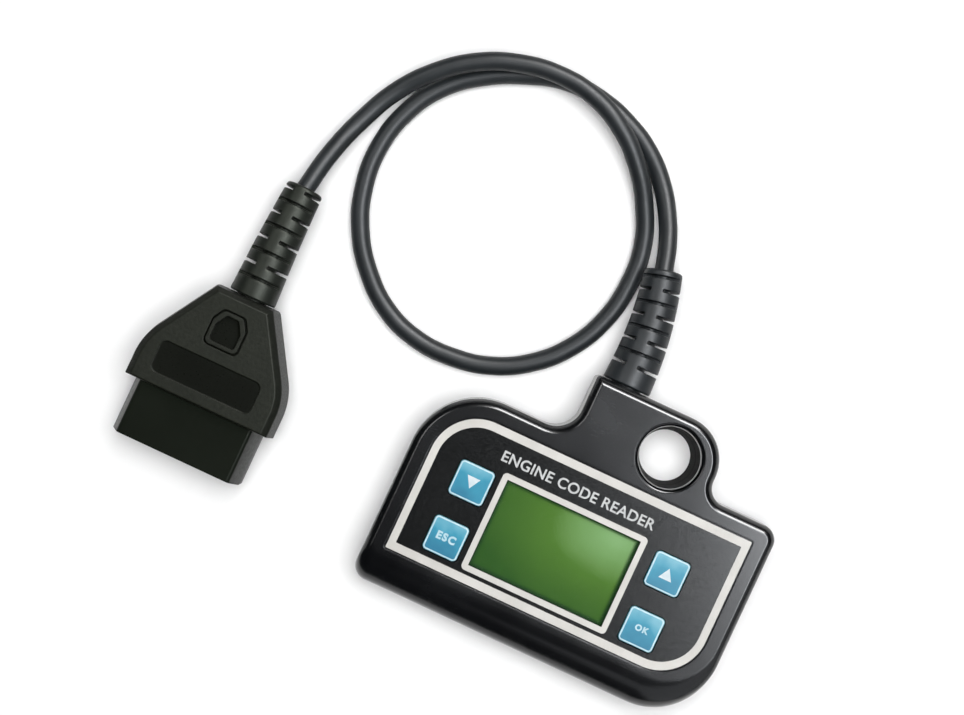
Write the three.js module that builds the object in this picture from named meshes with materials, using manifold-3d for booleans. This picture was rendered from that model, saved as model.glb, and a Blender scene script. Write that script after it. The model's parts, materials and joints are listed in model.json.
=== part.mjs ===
// A handheld diagnostic code reader: a thin case with a liquid crystal display, four keys and a hanging
// ring, joined by a short free cable to a sixteen-way vehicle diagnostic plug.
// Millimetres. The origin is under the middle of the reader, on the plane that its back rests on.
// +X runs along the reader's width, +Y towards its cable, and +Z out of its face.

import * as THREE from "three";
import { ParametricGeometry } from "three/addons/geometries/ParametricGeometry.js";
import { mergeVertices } from "three/addons/utils/BufferGeometryUtils.js";
import Module from "manifold-3d";

const wasm = await Module();
wasm.setup();

// ---------------------------------------------------------------------------------------------------
// Driving dimensions
// ---------------------------------------------------------------------------------------------------

const GAP = 0.3; // running gap between neighbouring pieces
const OVERRUN = 1; // how far a cutting tool runs past the face that it cuts

// The reader's case. Its outline is a wide body with a neck and a ring on its upper side.
const CASE = {
  right: 52.6,
  bottom: -40.45,
  shoulder: 21.7,
  top: 40.45,
  neckLeft: -12.8,
  ringRight: 29.7,
  thickness: 20,
  wall: 2.2,
  seam: 9.5, // height of the line where the two shells meet
};
const CORNER = {
  bottomLeft: 4.4,
  bottomRight: 18.9,
  topRight: 3.2,
  ringInner: 5,
  ring: 12.7,
  neckTop: 1.2,
  neckInner: 7.6,
  topLeft: 20.35,
};
const FACE_EDGE = { start: 17.4, draft: 0.2, width: 2.3 }; // the rounded edge all round the face
const FACE_SLOPE = { start: 13, width: 9.9 }; // the wide slope along the lower edge of the face
const HUB = [8, 5]; // a point that sees the whole outline, where the end faces' triangles meet
const RING_HOLE = { x: 15.4, y: 27.5, back: 7.4, neck: 8.8, mouth: 9.9, rim: 0.6, sleeve: 11 };
const CAVITY = { bottom: -36, neckRight: 4.6, corner: 3, lowerRight: 15 };
const LIP = { thick: 0.9, height: 1.2, root: 2 }; // the lip that closes a seam from inside

// The printed face and what shows through it.
const LABEL = { left: -46.75, right: 46.45, bottom: -29.1, top: 15.9, round: 14, sharp: 0.5 };
const LABEL_BASE = 19.5;
const LABEL_TOP = 19.9;
const SCREEN = { x: -2.7, y: -10.5, width: 41.1, height: 26.2 };
const KEY = { side: 10.5, corner: 1.3, bottom: 18.9, top: 20.2, edge: 0.3, well: 0.25 };
const KEYS = {
  down: [-32.15, -2.4],
  escape: [-32.15, -19.5],
  up: [28.4, -2.4],
  ok: [28.4, -19.5],
};

// The inside of the reader.
const BOARD = { left: -42, right: 42, bottom: -30, top: 14, low: 6.4, high: 8 };
const MOUNTED = BOARD.high + 0.05; // the height that components stand at
const SCREWS = [
  [-46.2, -31.8],
  [43.3, -29.3],
  [46.4, 15.6],
  [-42.8, 9.6],
];
const SCREW = { head: 2.6, headLow: 0.6, headHigh: 2.4, shank: 1.2, tip: 15, boss: 3 };
const POSTS = [
  [-38, -26],
  [37, -12],
  [36, 11],
  [-26, 11],
];

// The cable and its two tapered strain reliefs.
const CABLE = { diameter: 5.4, sides: 10, steps: 60 };
const LEAD = { diameter: 1.3, spread: 2.4, pitch: 1.5, names: ["power", "ground", "can_high", "can_low"] };
const READER_EXIT = { x: -3.7, z: 10 };
const RELIEF = { base: 7.1, tip: 5.5, neck: 4.5, flange: 6, sides: 16 };

// The diagnostic plug. It lies on the same plane as the reader, to its left.
const PLUG = { x: -111.4, middle: 12, height: 24, front: -15.3, end: 18.2, half: 22.9, wall: 2.4 };
const PLUG_SIDE = { start: -9, radius: 20, lean: 31.6, corner: 1.5 }; // the curve and taper of its sides
const SHROUD = { half: 19.6, halfTop: 17.4, height: 18, length: 16.05, wall: 1.4, bend: 13 };
const CARRIER = { front: -17, back: -11 };
const TONGUE = { half: 15, thick: 2, front: -26 };
const PIN = { width: 1.5, thick: 0.8, front: -25.5, back: -8, pitch: 4, row: 4.6 };
const PINS = [2, 4, 5, 6, 7, 10, 14, 15, 16]; // the contacts that this kind of reader fits
const PLUG_LABEL = { x: -112, y: -6.8, width: 30.6, height: 9.4, corner: 2, depth: 0.4 };
const LATCH = { x: -111.9, y: 7.2, width: 9.8, height: 10.3, lip: 0.5, rim: 1.3, depth: 1.2 };
const PLUG_EXIT = { x: -110.7, z: 12 };

// The cable's route from the reader to the plug, chosen by hand. It leaves the reader, settles on the
// surface, makes one turn and passes over itself on its way to the plug.
const ROUTE = [
  [-7.9, 75.6, 8.9],
  [-9.9, 82.6, 7.2],
  [-13.2, 90.0, 4.8],
  [-18.4, 97.8, 3.0],
  [-25.6, 104.6, 2.75],
  [-34.6, 109.6, 2.75],
  [-45.0, 112.7, 2.75],
  [-56.0, 113.2, 2.75],
  [-67.2, 109.9, 2.75],
  [-78.4, 104.2, 2.75],
  [-87.6, 96.4, 2.75],
  [-94.0, 85.8, 2.75],
  [-96.9, 73.6, 2.75],
  [-96.0, 60.8, 2.75],
  [-91.6, 49.0, 2.75],
  [-84.4, 39.2, 2.75],
  [-75.0, 31.6, 2.75],
  [-64.0, 27.6, 2.75],
  [-52.4, 27.2, 2.75],
  [-41.0, 29.7, 2.75],
  [-30.6, 35.6, 2.75],
  [-22.4, 44.3, 2.75],
  [-17.0, 55.2, 2.75],
  [-14.9, 67.4, 2.75],
  [-15.9, 79.2, 2.8],
  [-20.3, 89.7, 4.0],
  [-27.2, 99.3, 6.4],
  [-36.2, 107.0, 8.2],
  [-47.2, 112.0, 8.5],
  [-58.9, 113.3, 8.5],
  [-70.4, 111.4, 8.5],
  [-81.4, 106.7, 8.3],
  [-91.1, 99.2, 7.4],
  [-99.0, 89.6, 5.6],
  [-104.6, 77.8, 5.6],
  [-108.4, 65.2, 8.0],
  [-110.2, 54.0, 10.4],
];

// ---------------------------------------------------------------------------------------------------
// Solids
// ---------------------------------------------------------------------------------------------------

// A closed geometry as a solid. Triangles that have shrunk to a line are left out.
function toSolid(geometry) {
  const bare = geometry.clone();
  bare.deleteAttribute("normal");
  bare.deleteAttribute("uv");
  const merged = mergeVertices(bare, 1e-4);
  const corners = merged.index.array;
  const kept = [];
  for (let i = 0; i < corners.length; i += 3) {
    const [a, b, c] = [corners[i], corners[i + 1], corners[i + 2]];
    if (a !== b && b !== c && c !== a) kept.push(a, b, c);
  }
  const vertProperties = new Float32Array(merged.getAttribute("position").array);
  const triVerts = new Uint32Array(kept);
  return new wasm.Manifold(new wasm.Mesh({ numProp: 3, vertProperties, triVerts }));
}

function toGeometry(solid) {
  const { vertProperties, triVerts } = solid.getMesh();
  const geometry = new THREE.BufferGeometry();
  geometry.setAttribute("position", new THREE.BufferAttribute(vertProperties, 3));
  geometry.setIndex(new THREE.BufferAttribute(triVerts, 1));
  geometry.computeVertexNormals();
  return geometry;
}

const join = (first, ...others) =>
  toGeometry(others.reduce((solid, other) => solid.add(toSolid(other)), toSolid(first)));

const cut = (first, ...tools) =>
  toGeometry(tools.reduce((solid, tool) => solid.subtract(toSolid(tool)), toSolid(first)));

function box([x0, x1], [y0, y1], [z0, z1]) {
  const geometry = new THREE.BoxGeometry(x1 - x0, y1 - y0, z1 - z0);
  return geometry.translate((x0 + x1) / 2, (y0 + y1) / 2, (z0 + z1) / 2);
}

// A box given by the middle of its plan and its heights.
function block([x, y], [width, depth], [z0, z1]) {
  return box([x - width / 2, x + width / 2], [y - depth / 2, y + depth / 2], [z0, z1]);
}

function postZ([x, y], radius, [z0, z1], sides = 20) {
  const geometry = new THREE.CylinderGeometry(radius, radius, z1 - z0, sides);
  return geometry.rotateX(Math.PI / 2).translate(x, y, (z0 + z1) / 2);
}

function postY([x, z], radius, [y0, y1], sides = 20) {
  const geometry = new THREE.CylinderGeometry(radius, radius, y1 - y0, sides);
  return geometry.translate(x, (y0 + y1) / 2, z);
}

// A flat outline in plan, given a height.
function slab(shape, [z0, z1]) {
  const geometry = new THREE.ExtrudeGeometry(shape, { depth: z1 - z0, bevelEnabled: false });
  return geometry.translate(0, 0, z0);
}

// An outline in the plane of X and Z, run along Y.
function bar(shape, [y0, y1]) {
  const geometry = new THREE.ExtrudeGeometry(shape, { depth: y1 - y0, bevelEnabled: false });
  return geometry.rotateX(Math.PI / 2).translate(0, y1, 0);
}

// Points of an arc, its angles in degrees.
function arc([x, y], radius, from, to, steps) {
  const points = [];
  for (let i = 0; i <= steps; i++) {
    const angle = THREE.MathUtils.degToRad(from + ((to - from) * i) / steps);
    points.push(new THREE.Vector2(x + radius * Math.cos(angle), y + radius * Math.sin(angle)));
  }
  return points;
}

// A rectangle with its own radius at each corner: lower left, lower right, upper right, upper left.
function roundedRectangle({ left, right, bottom, top }, radii, steps = 6) {
  const [lowerLeft, lowerRight, upperRight, upperLeft] = radii;
  return [
    ...arc([left + lowerLeft, bottom + lowerLeft], lowerLeft, 180, 270, steps),
    ...arc([right - lowerRight, bottom + lowerRight], lowerRight, 270, 360, steps),
    ...arc([right - upperRight, top - upperRight], upperRight, 0, 90, steps),
    ...arc([left + upperLeft, top - upperLeft], upperLeft, 90, 180, steps),
  ];
}

const around = ([x, y], width, height) => ({
  left: x - width / 2,
  right: x + width / 2,
  bottom: y - height / 2,
  top: y + height / 2,
});

const shapeOf = (points) => new THREE.Shape(points);

// A closed solid through a list of rings with equal numbers of points, from one end to the other. The
// points run anticlockwise when they are seen from the last ring. The ends are flat fans round hubs.
function loft(rings, firstHub, lastHub) {
  const count = rings[0].length;
  const stations = [Array(count).fill(firstHub), ...rings, Array(count).fill(lastHub)];
  const last = stations.length - 1;
  const point = (u, v, target) => {
    target.copy(stations[Math.round(v * last)][Math.round(u * count) % count]);
  };
  return toGeometry(toSolid(new ParametricGeometry(point, count, last)));
}

const atHeight = (points, z) => points.map((point) => new THREE.Vector3(point.x, point.y, z));

// A stack of flat outlines in plan, one at each height, joined by straight walls.
function stack(heights, outlineAt, [x, y]) {
  const rings = heights.map((z) => atHeight(outlineAt(z), z));
  const hubs = [heights[0], heights.at(-1)].map((z) => new THREE.Vector3(x, y, z));
  return loft(rings, ...hubs);
}

// A solid of round sections along a curve: each section is [distance along it from 0 to 1, radius].
function turned(curve, sections, sides) {
  const up = new THREE.Vector3(0, 0, 1);
  const ringAt = ([t, radius]) => {
    const centre = curve.getPointAt(t);
    const along = curve.getTangentAt(t);
    const side = new THREE.Vector3().crossVectors(up, along).normalize();
    const over = new THREE.Vector3().crossVectors(along, side);
    return Array.from({ length: sides }, (_, i) => {
      const angle = (2 * Math.PI * i) / sides;
      const point = centre.clone().addScaledVector(side, radius * Math.cos(angle));
      return point.addScaledVector(over, radius * Math.sin(angle));
    });
  };
  return loft(sections.map(ringAt), curve.getPointAt(sections[0][0]), curve.getPointAt(sections.at(-1)[0]));
}

// A tube of constant section along a curve.
function tube(curve, diameter, sides, steps) {
  const section = arc([0, 0], diameter / 2, 0, 360, sides).slice(0, sides);
  return new THREE.ExtrudeGeometry(shapeOf(section), { extrudePath: curve, steps, bevelEnabled: false });
}

const curveThrough = (points) =>
  new THREE.CatmullRomCurve3(points.map((point) => new THREE.Vector3(...point)));

// ---------------------------------------------------------------------------------------------------
// The object and its materials
// ---------------------------------------------------------------------------------------------------

const object = new THREE.Group();

const FINISHES = {
  case: { color: 0x15171b, roughness: 0.25, metalness: 0 },
  overlay: { color: 0x24262a, roughness: 0.4, metalness: 0 },
  key: { color: 0x3aa5cc, roughness: 0.4, metalness: 0 },
  window: { color: 0xdfe8e0, roughness: 0.05, metalness: 0 },
  display: { color: 0x4a8a2a, roughness: 0.2, metalness: 0 },
  backlight: { color: 0xe6ead8, roughness: 0.5, metalness: 0 },
  metal: { color: 0xb9bcc0, roughness: 0.3, metalness: 1 },
  board: { color: 0x1c5a34, roughness: 0.5, metalness: 0 },
  chip: { color: 0x1b1b1d, roughness: 0.5, metalness: 0 },
  connector: { color: 0xe9e4d4, roughness: 0.5, metalness: 0 },
  rubber: { color: 0x2b2d30, roughness: 0.6, metalness: 0 },
  plug: { color: 0x26282a, roughness: 0.5, metalness: 0 },
  contact: { color: 0xd8b45a, roughness: 0.25, metalness: 1 },
  red: { color: 0xb3262b, roughness: 0.5, metalness: 0 },
  black: { color: 0x1a1a1a, roughness: 0.5, metalness: 0 },
  yellow: { color: 0xd8b82a, roughness: 0.5, metalness: 0 },
  green: { color: 0x2f8a45, roughness: 0.5, metalness: 0 },
};

function add(name, geometry, finish) {
  const mesh = new THREE.Mesh(geometry, new THREE.MeshStandardMaterial(FINISHES[finish]));
  mesh.name = name;
  object.add(mesh);
}

// ---------------------------------------------------------------------------------------------------
// The reader's case
// ---------------------------------------------------------------------------------------------------

// The case's outline, drawn in by `side` on every edge but the lower one, and there by `bottom`.
function caseOutline(side, bottom) {
  const left = -CASE.right + side;
  const right = CASE.right - side;
  const low = CASE.bottom + bottom;
  const shoulder = CASE.shoulder - side;
  const top = CASE.top - side;
  const neck = CASE.neckLeft + side;
  const ring = CASE.ringRight - side;
  const convex = (radius) => Math.max(radius - side, 0.3);
  const lowerRight = CORNER.bottomRight - 0.3 * (side + bottom);
  const upperLeft = convex(CORNER.topLeft);
  const ringRadius = convex(CORNER.ring);
  const neckTop = convex(CORNER.neckTop);
  const neckInner = CORNER.neckInner + side;
  const ringInner = CORNER.ringInner + side;
  const lowerLeft = convex(CORNER.bottomLeft);
  const upperRight = convex(CORNER.topRight);
  return [
    ...arc([left + lowerLeft, low + lowerLeft], lowerLeft, 180, 270, 4),
    ...arc([right - lowerRight, low + lowerRight], lowerRight, 270, 360, 8),
    ...arc([right - upperRight, shoulder - upperRight], upperRight, 0, 90, 4),
    ...arc([ring + ringInner, shoulder + ringInner], ringInner, 270, 180, 5),
    ...arc([ring - ringRadius, top - ringRadius], ringRadius, 0, 90, 8),
    ...arc([neck + neckTop, top - neckTop], neckTop, 90, 180, 3),
    ...arc([neck - neckInner, shoulder + neckInner], neckInner, 0, -90, 5),
    ...arc([left + upperLeft, shoulder - upperLeft], upperLeft, 90, 180, 9),
  ];
}

// How far a quarter of an ellipse has turned in at a height.
function roundedInset(z, start, width) {
  const rise = THREE.MathUtils.clamp((z - start) / (CASE.thickness - start), 0, 1);
  return width * (1 - Math.sqrt(1 - rise * rise));
}

const frontOutline = (z) => {
  const draft = (FACE_EDGE.draft * (z - CASE.seam)) / (CASE.thickness - CASE.seam);
  const side = draft + roundedInset(z, FACE_EDGE.start, FACE_EDGE.width);
  return caseOutline(side, draft + roundedInset(z, FACE_SLOPE.start, FACE_SLOPE.width));
};

const backEdge = [
  [0, 1.7],
  [0.5, 0.8],
  [1.4, 0.25],
  [2.6, 0],
];
const backOutline = (z) => {
  const inset = backEdge.find(([height]) => height === z)?.[1] ?? 0;
  return caseOutline(inset, inset);
};

// The hollow of the case, drawn in by `inset`: its body, and the neck that the cable comes in through.
function caseHollow(heights, inset = 0) {
  const inner = CASE.right - CASE.wall - inset;
  const body = {
    left: -inner,
    right: inner,
    bottom: CAVITY.bottom + inset,
    top: CASE.shoulder - CASE.wall - inset,
  };
  const radii = [CAVITY.corner, CAVITY.lowerRight, CAVITY.corner, CORNER.topLeft - CASE.wall];
  const neck = {
    left: CASE.neckLeft + CASE.wall + inset,
    right: CAVITY.neckRight - inset,
    bottom: body.top - 2 * OVERRUN,
    top: CASE.top - CASE.wall - inset,
  };
  const bodyRadii = radii.map((radius) => radius - inset);
  const bodySlab = slab(shapeOf(roundedRectangle(body, bodyRadii)), heights);
  return join(bodySlab, slab(shapeOf(roundedRectangle(neck, Array(4).fill(0.5), 1)), heights));
}

// The round hole of the ring. It widens from the back to the face, where its mouth is rounded.
function ringTool() {
  const { back, neck, mouth, rim } = RING_HOLE;
  const rounding = CASE.thickness - FACE_EDGE.start;
  const profile = [
    [0, -OVERRUN],
    [back + rim, -OVERRUN],
    [back + rim, 0],
    [back, rim],
  ];
  for (const turn of [0, 30, 60, 90]) {
    const angle = THREE.MathUtils.degToRad(turn);
    const x = mouth - (mouth - neck) * Math.cos(angle);
    profile.push([x, FACE_EDGE.start + rounding * Math.sin(angle)]);
  }
  profile.push([mouth, openTop], [0, openTop]);
  const points = profile.map(([x, y]) => new THREE.Vector2(x, y));
  return new THREE.LatheGeometry(points, 32).rotateX(Math.PI / 2).translate(RING_HOLE.x, RING_HOLE.y, 0);
}

// The wall round the ring's hole, where it passes beside the hollow of the case.
const ringSleeve = (heights, margin = 0) =>
  postZ([RING_HOLE.x, RING_HOLE.y], RING_HOLE.sleeve + margin, heights, 32);

const cableBore = () =>
  postY([READER_EXIT.x, READER_EXIT.z], RELIEF.neck + GAP, [CASE.top - 4, CASE.top + OVERRUN]);

const ceiling = CASE.thickness - CASE.wall;
const seamLow = CASE.seam - GAP / 2;
const seamHigh = CASE.seam + GAP / 2;
const screenArea = around([SCREEN.x, SCREEN.y], SCREEN.width, SCREEN.height);
const openTop = CASE.thickness + OVERRUN;

// The label's outline, grown by a margin.
function labelOutline(margin) {
  const area = {
    left: LABEL.left - margin,
    right: LABEL.right + margin,
    bottom: LABEL.bottom - margin,
    top: LABEL.top + margin,
  };
  return roundedRectangle(area, [LABEL.sharp, LABEL.round, LABEL.sharp, LABEL.round], 8);
}

function keyWell(centre, heights) {
  const side = KEY.side + 2 * KEY.well;
  const radius = KEY.corner + KEY.well;
  return slab(shapeOf(roundedRectangle(around(centre, side, side), Array(4).fill(radius), 3)), heights);
}

function frontShell() {
  const heights = [seamHigh, 13, 15.2, FACE_EDGE.start, 18.6, 19.4, 19.8, CASE.thickness];
  const bosses = SCREWS.map((at) => postZ(at, SCREW.boss, [seamHigh, ceiling + GAP]));
  const pilots = SCREWS.map((at) => postZ(at, SCREW.shank + GAP, [seamHigh - OVERRUN, SCREW.tip + 1], 12));
  const hollowed = cut(stack(heights, frontOutline, HUB), caseHollow([seamHigh - OVERRUN, ceiling]));
  const shell = cut(
    join(hollowed, ringSleeve([seamHigh, ceiling + GAP]), ...bosses),
    ...pilots,
    ringTool(),
    cableBore(),
    slab(shapeOf(labelOutline(KEY.well)), [LABEL_BASE - 0.1, openTop]),
    slab(shapeOf(roundedRectangle(screenArea, Array(4).fill(0.3), 1)), [ceiling - OVERRUN, openTop]),
    ...Object.values(KEYS).map((at) => keyWell(at, [ceiling - OVERRUN, openTop])),
  );
  add("front_shell", shell, "case");
}

// A lip inside the back shell's rim, which stands up behind the front shell's wall. It stops short of
// the screw bosses, the ring's wall and the strain relief's flange.
function backLip() {
  const foot = [seamLow - LIP.root, seamLow];
  const rim = [seamLow - 0.5, seamHigh + LIP.height];
  const inside = caseHollow([foot[0] - OVERRUN, rim[1] + OVERRUN], GAP + LIP.thick);
  const clearances = SCREWS.map((at) => postZ(at, SCREW.boss + GAP, [0, openTop]));
  const flangeRoom = box([CASE.neckLeft, CAVITY.neckRight], [33, CASE.top], [0, openTop]);
  clearances.push(ringSleeve([0, openTop], GAP), flangeRoom);
  return cut(join(caseHollow(foot, -0.5), caseHollow(rim, GAP)), inside, ...clearances);
}

function backShell() {
  const heights = [...backEdge.map(([height]) => height), seamLow];
  const floor = CASE.wall;
  const bosses = SCREWS.map((at) => postZ(at, SCREW.boss, [floor - GAP, seamLow]));
  const posts = POSTS.map((at) => postZ(at, 2, [floor - GAP, BOARD.low - 0.1], 12));
  const shanks = SCREWS.map((at) => postZ(at, SCREW.shank + GAP, [floor, seamLow + OVERRUN], 12));
  const sinks = SCREWS.map((at) => postZ(at, SCREW.head + GAP, [-OVERRUN, SCREW.headHigh + GAP]));
  const hollowed = cut(stack(heights, backOutline, HUB), caseHollow([floor, seamLow + OVERRUN]));
  const shell = cut(
    join(hollowed, backLip(), ringSleeve([floor - GAP, seamLow]), ...bosses, ...posts),
    ...shanks,
    ...sinks,
    ringTool(),
    cableBore(),
  );
  add("back_shell", shell, "case");
}

// The four screws that hold the case together, with cross slots.
function caseScrews() {
  SCREWS.forEach((at, index) => {
    const head = postZ(at, SCREW.head, [SCREW.headLow, SCREW.headHigh]);
    const shank = postZ(at, SCREW.shank, [SCREW.headHigh - GAP, SCREW.tip], 12);
    const slot = [SCREW.headLow - OVERRUN, SCREW.headLow + 1];
    const screw = cut(join(head, shank), block(at, [3.2, 0.7], slot), block(at, [0.7, 3.2], slot));
    add(`case_screw_${index + 1}`, screw, "metal");
  });
}

// ---------------------------------------------------------------------------------------------------
// The face: label, keys and display
// ---------------------------------------------------------------------------------------------------

function faceOverlay() {
  const heights = [LABEL_BASE - OVERRUN, LABEL_TOP + OVERRUN];
  const film = cut(
    slab(shapeOf(labelOutline(0)), [LABEL_BASE, LABEL_TOP]),
    slab(shapeOf(roundedRectangle(screenArea, Array(4).fill(0.3), 1)), heights),
    ...Object.values(KEYS).map((at) => keyWell(at, heights)),
  );
  add("face_overlay", film, "overlay");
}

// Each key is a pad in the face and the stem that reaches down to its switch on the board.
function keysAndSwitches() {
  const body = 3.0;
  const switchTop = 12.2;
  const socketFloor = 10.2;
  for (const [name, at] of Object.entries(KEYS)) {
    const flat = KEY.side - 2 * KEY.edge;
    const outline = roundedRectangle(around(at, flat, flat), Array(4).fill(KEY.corner - KEY.edge), 3);
    const pad = new THREE.ExtrudeGeometry(shapeOf(outline), {
      depth: KEY.top - KEY.bottom - 2 * KEY.edge,
      bevelThickness: KEY.edge,
      bevelSize: KEY.edge,
      bevelSegments: 1,
    }).translate(0, 0, KEY.bottom + KEY.edge);
    const housing = block(at, [2 * body, 2 * body], [MOUNTED, switchTop]);
    const socket = postZ(at, 2, [socketFloor, switchTop + OVERRUN], 12);
    add(`key_${name}`, pad, "key");
    add(`switch_stem_${name}`, postZ(at, 1.7, [socketFloor + 0.8, KEY.bottom - GAP], 12), "black");
    add(`tact_switch_${name}`, cut(housing, socket), "chip");
  }
}

function displayStack() {
  const middle = [SCREEN.x, SCREEN.y];
  const cell = [45.8, 30.2];
  const frame = cut(
    block(middle, [50, 34], [10.9, 17.6]),
    block(middle, [cell[0] + 2 * GAP, cell[1] + 2 * GAP], [10.9 - OVERRUN, 16.7]),
    block(middle, [SCREEN.width + 2 * GAP, SCREEN.height + 2 * GAP], [16, 18.6]),
  );
  const paneArea = around(middle, SCREEN.width - 2 * GAP, SCREEN.height - 2 * GAP);
  const pane = roundedRectangle(paneArea, Array(4).fill(0.3), 1);
  add("display_window", slab(shapeOf(pane), [18.5, 19.3]), "window");
  add("lcd_frame", frame, "black");
  add("lcd_glass", block(middle, cell, [14.9, 16.5]), "display");
  add("backlight", block(middle, cell, [11.3, 14.6]), "backlight");
}

// ---------------------------------------------------------------------------------------------------
// The board and what it carries
// ---------------------------------------------------------------------------------------------------

function mainBoard() {
  const outline = roundedRectangle(BOARD, [1, 10, 2, 12], 5);
  add("main_board", slab(shapeOf(outline), [BOARD.low, BOARD.high]), "board");
}

// A chip's body with a row of legs along each of two sides, as one piece.
function chip(at, [width, depth], height, legs) {
  const body = block(at, [width, depth], [MOUNTED + 0.15, MOUNTED + height]);
  const pitch = width / legs;
  const rows = [];
  for (let i = 0; i < legs; i++) {
    const x = at[0] - width / 2 + pitch * (i + 0.5);
    rows.push(block([x, at[1]], [pitch * 0.45, depth + 2.4], [MOUNTED, MOUNTED + 0.4]));
  }
  return join(body, ...rows);
}

function components() {
  add("microcontroller", chip([-4, -12], [12, 12], 1.6, 8), "chip");
  add("interface_chip", chip([-19, -14], [8, 5], 1.6, 4), "chip");
  add("voltage_regulator", chip([14, -16], [6.5, 4], 1.7, 3), "chip");
  add("capacitor_1", postZ([-22, 10.4], 3.1, [MOUNTED, 14.5]), "metal");
  add("capacitor_2", postZ([-14.5, 10.4], 3.1, [MOUNTED, 14.5]), "metal");
  const can = around([33, 9], 11, 4.5);
  add("crystal", slab(shapeOf(roundedRectangle(can, Array(4).fill(2.2), 4)), [MOUNTED, 11.5]), "metal");
}

// The socket on the board, and the plug on the cable's inner leads that fits it.
function boardConnector() {
  const x = READER_EXIT.x;
  const pocket = box([x - 4.4, x + 4.4], [9.6, 14], [8.8, 12]);
  const header = cut(box([x - 5.2, x + 5.2], [8.2, 12.8], [MOUNTED, 12.8]), pocket);
  const tongue = box([x - 4.1, x + 4.1], [9.9, 13.4], [9.1, 11.7]);
  const plug = join(tongue, box([x - 4.9, x + 4.9], [13.1, 18.2], [8.6, 12.4]));
  add("cable_header", header, "connector");
  add("header_plug", plug, "connector");
}

const LEAD_FINISH = { power: "red", ground: "black", can_high: "yellow", can_low: "green" };

// The four leads of the cable inside the reader, from the strain relief to the header plug.
function boardLeads() {
  LEAD.names.forEach((name, index) => {
    const offset = index - 1.5;
    const { x, z } = READER_EXIT;
    const curve = curveThrough([
      [x + offset * LEAD.spread, 18.5, 10.5],
      [x + offset * LEAD.spread, 23, 10.7],
      [x + offset * LEAD.pitch, 30, z],
      [x + offset * LEAD.pitch, 35, z],
    ]);
    add(`lead_${name}`, tube(curve, LEAD.diameter, 6, 8), LEAD_FINISH[name]);
  });
}

// ---------------------------------------------------------------------------------------------------
// The cable and its strain reliefs
// ---------------------------------------------------------------------------------------------------

// A moulded strain relief: a flange held inside the housing, a neck through its wall, and a tapered
// sleeve outside. `inside` lists the distances of the flange's ends and of the sleeve's base.
function strainRelief(points, inside) {
  const curve = curveThrough(points);
  const length = curve.getLength();
  const [flangeEnd, base] = inside.map((distance) => distance / length);
  const sections = [
    [0, RELIEF.flange],
    [flangeEnd, RELIEF.flange],
    [flangeEnd, RELIEF.neck],
    [base, RELIEF.neck],
    [base, RELIEF.base],
  ];
  const stations = 8;
  for (let i = 1; i <= stations; i++) {
    const t = i / stations;
    sections.push([base + (0.985 - base) * t, RELIEF.base + (RELIEF.tip - RELIEF.base) * t]);
  }
  sections.push([1, RELIEF.tip - 0.7]);
  return turned(curve, sections, RELIEF.sides);
}

function cableAndReliefs() {
  const { x, z } = READER_EXIT;
  const readerRelief = [
    [x, 35.4, z],
    [x, 38, z],
    [x, 42, z],
    [x - 0.1, 50, z],
    [x - 0.9, 59, 9.8],
    [x - 2.2, 67, 9.5],
    [x - 4.05, 75, 9],
  ];
  const plugRelief = [
    [PLUG_EXIT.x, 13, PLUG_EXIT.z],
    [PLUG_EXIT.x, 16, PLUG_EXIT.z],
    [PLUG_EXIT.x, 22, PLUG_EXIT.z],
    [PLUG_EXIT.x, 36, 11.6],
    [-110.3, 53.2, 10.5],
  ];
  add("reader_strain_relief", strainRelief(readerRelief, [2.5, CASE.top + GAP - 35.4]), "rubber");
  add("plug_strain_relief", strainRelief(plugRelief, [2.4, PLUG.end + GAP - 13]), "rubber");
  add("cable", tube(curveThrough(ROUTE), CABLE.diameter, CABLE.sides, CABLE.steps), "rubber");
}

// ---------------------------------------------------------------------------------------------------
// The diagnostic plug
// ---------------------------------------------------------------------------------------------------

// The plug's outline in plan: square at the front, with sides that curve in and taper to the cable.
function plugOutline(side, front, end) {
  const lean = THREE.MathUtils.degToRad(PLUG_SIDE.lean);
  const radius = PLUG_SIDE.radius - side;
  const centre = PLUG.half - PLUG_SIDE.radius;
  const corner = Math.max(PLUG_SIDE.corner - side, 0.4);
  const reach = centre * Math.cos(lean) + PLUG_SIDE.start * Math.sin(lean) + radius;
  const cornerY = PLUG.end - end - corner;
  const cornerX = (reach - corner - cornerY * Math.sin(lean)) / Math.cos(lean);
  const half = [
    new THREE.Vector2(PLUG.half - side, PLUG.front + front),
    ...arc([centre, PLUG_SIDE.start], radius, 0, PLUG_SIDE.lean, 5),
    ...arc([cornerX, cornerY], corner, PLUG_SIDE.lean, 90, 3),
  ];
  const mirrored = half.map((point) => new THREE.Vector2(-point.x, point.y)).reverse();
  return [...half, ...mirrored].map((point) => point.add(new THREE.Vector2(PLUG.x, 0)));
}

// Insets of the plug's outline at heights above its middle: the height, the sides and the end.
const plugSection = [
  [GAP / 2, 0, 0],
  [8.2, 1.3, 0.4],
  [10.8, 2.1, 0.9],
  [PLUG.height / 2, 3.1, 1.5],
];

// One cover's outside: the upper one from the middle up, and the lower one its mirror image.
function coverBlank(direction) {
  const rings = plugSection.map(([rise, side, end]) => {
    const front = rise === PLUG.height / 2 ? 0.5 : 0;
    return atHeight(plugOutline(side, front, end), PLUG.middle + direction * rise);
  });
  const hubs = [plugSection[0][0], plugSection.at(-1)[0]].map(
    (rise) => new THREE.Vector3(PLUG.x, 0, PLUG.middle + direction * rise),
  );
  if (direction < 0) {
    rings.reverse();
    hubs.reverse();
  }
  return loft(rings, ...hubs);
}

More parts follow.
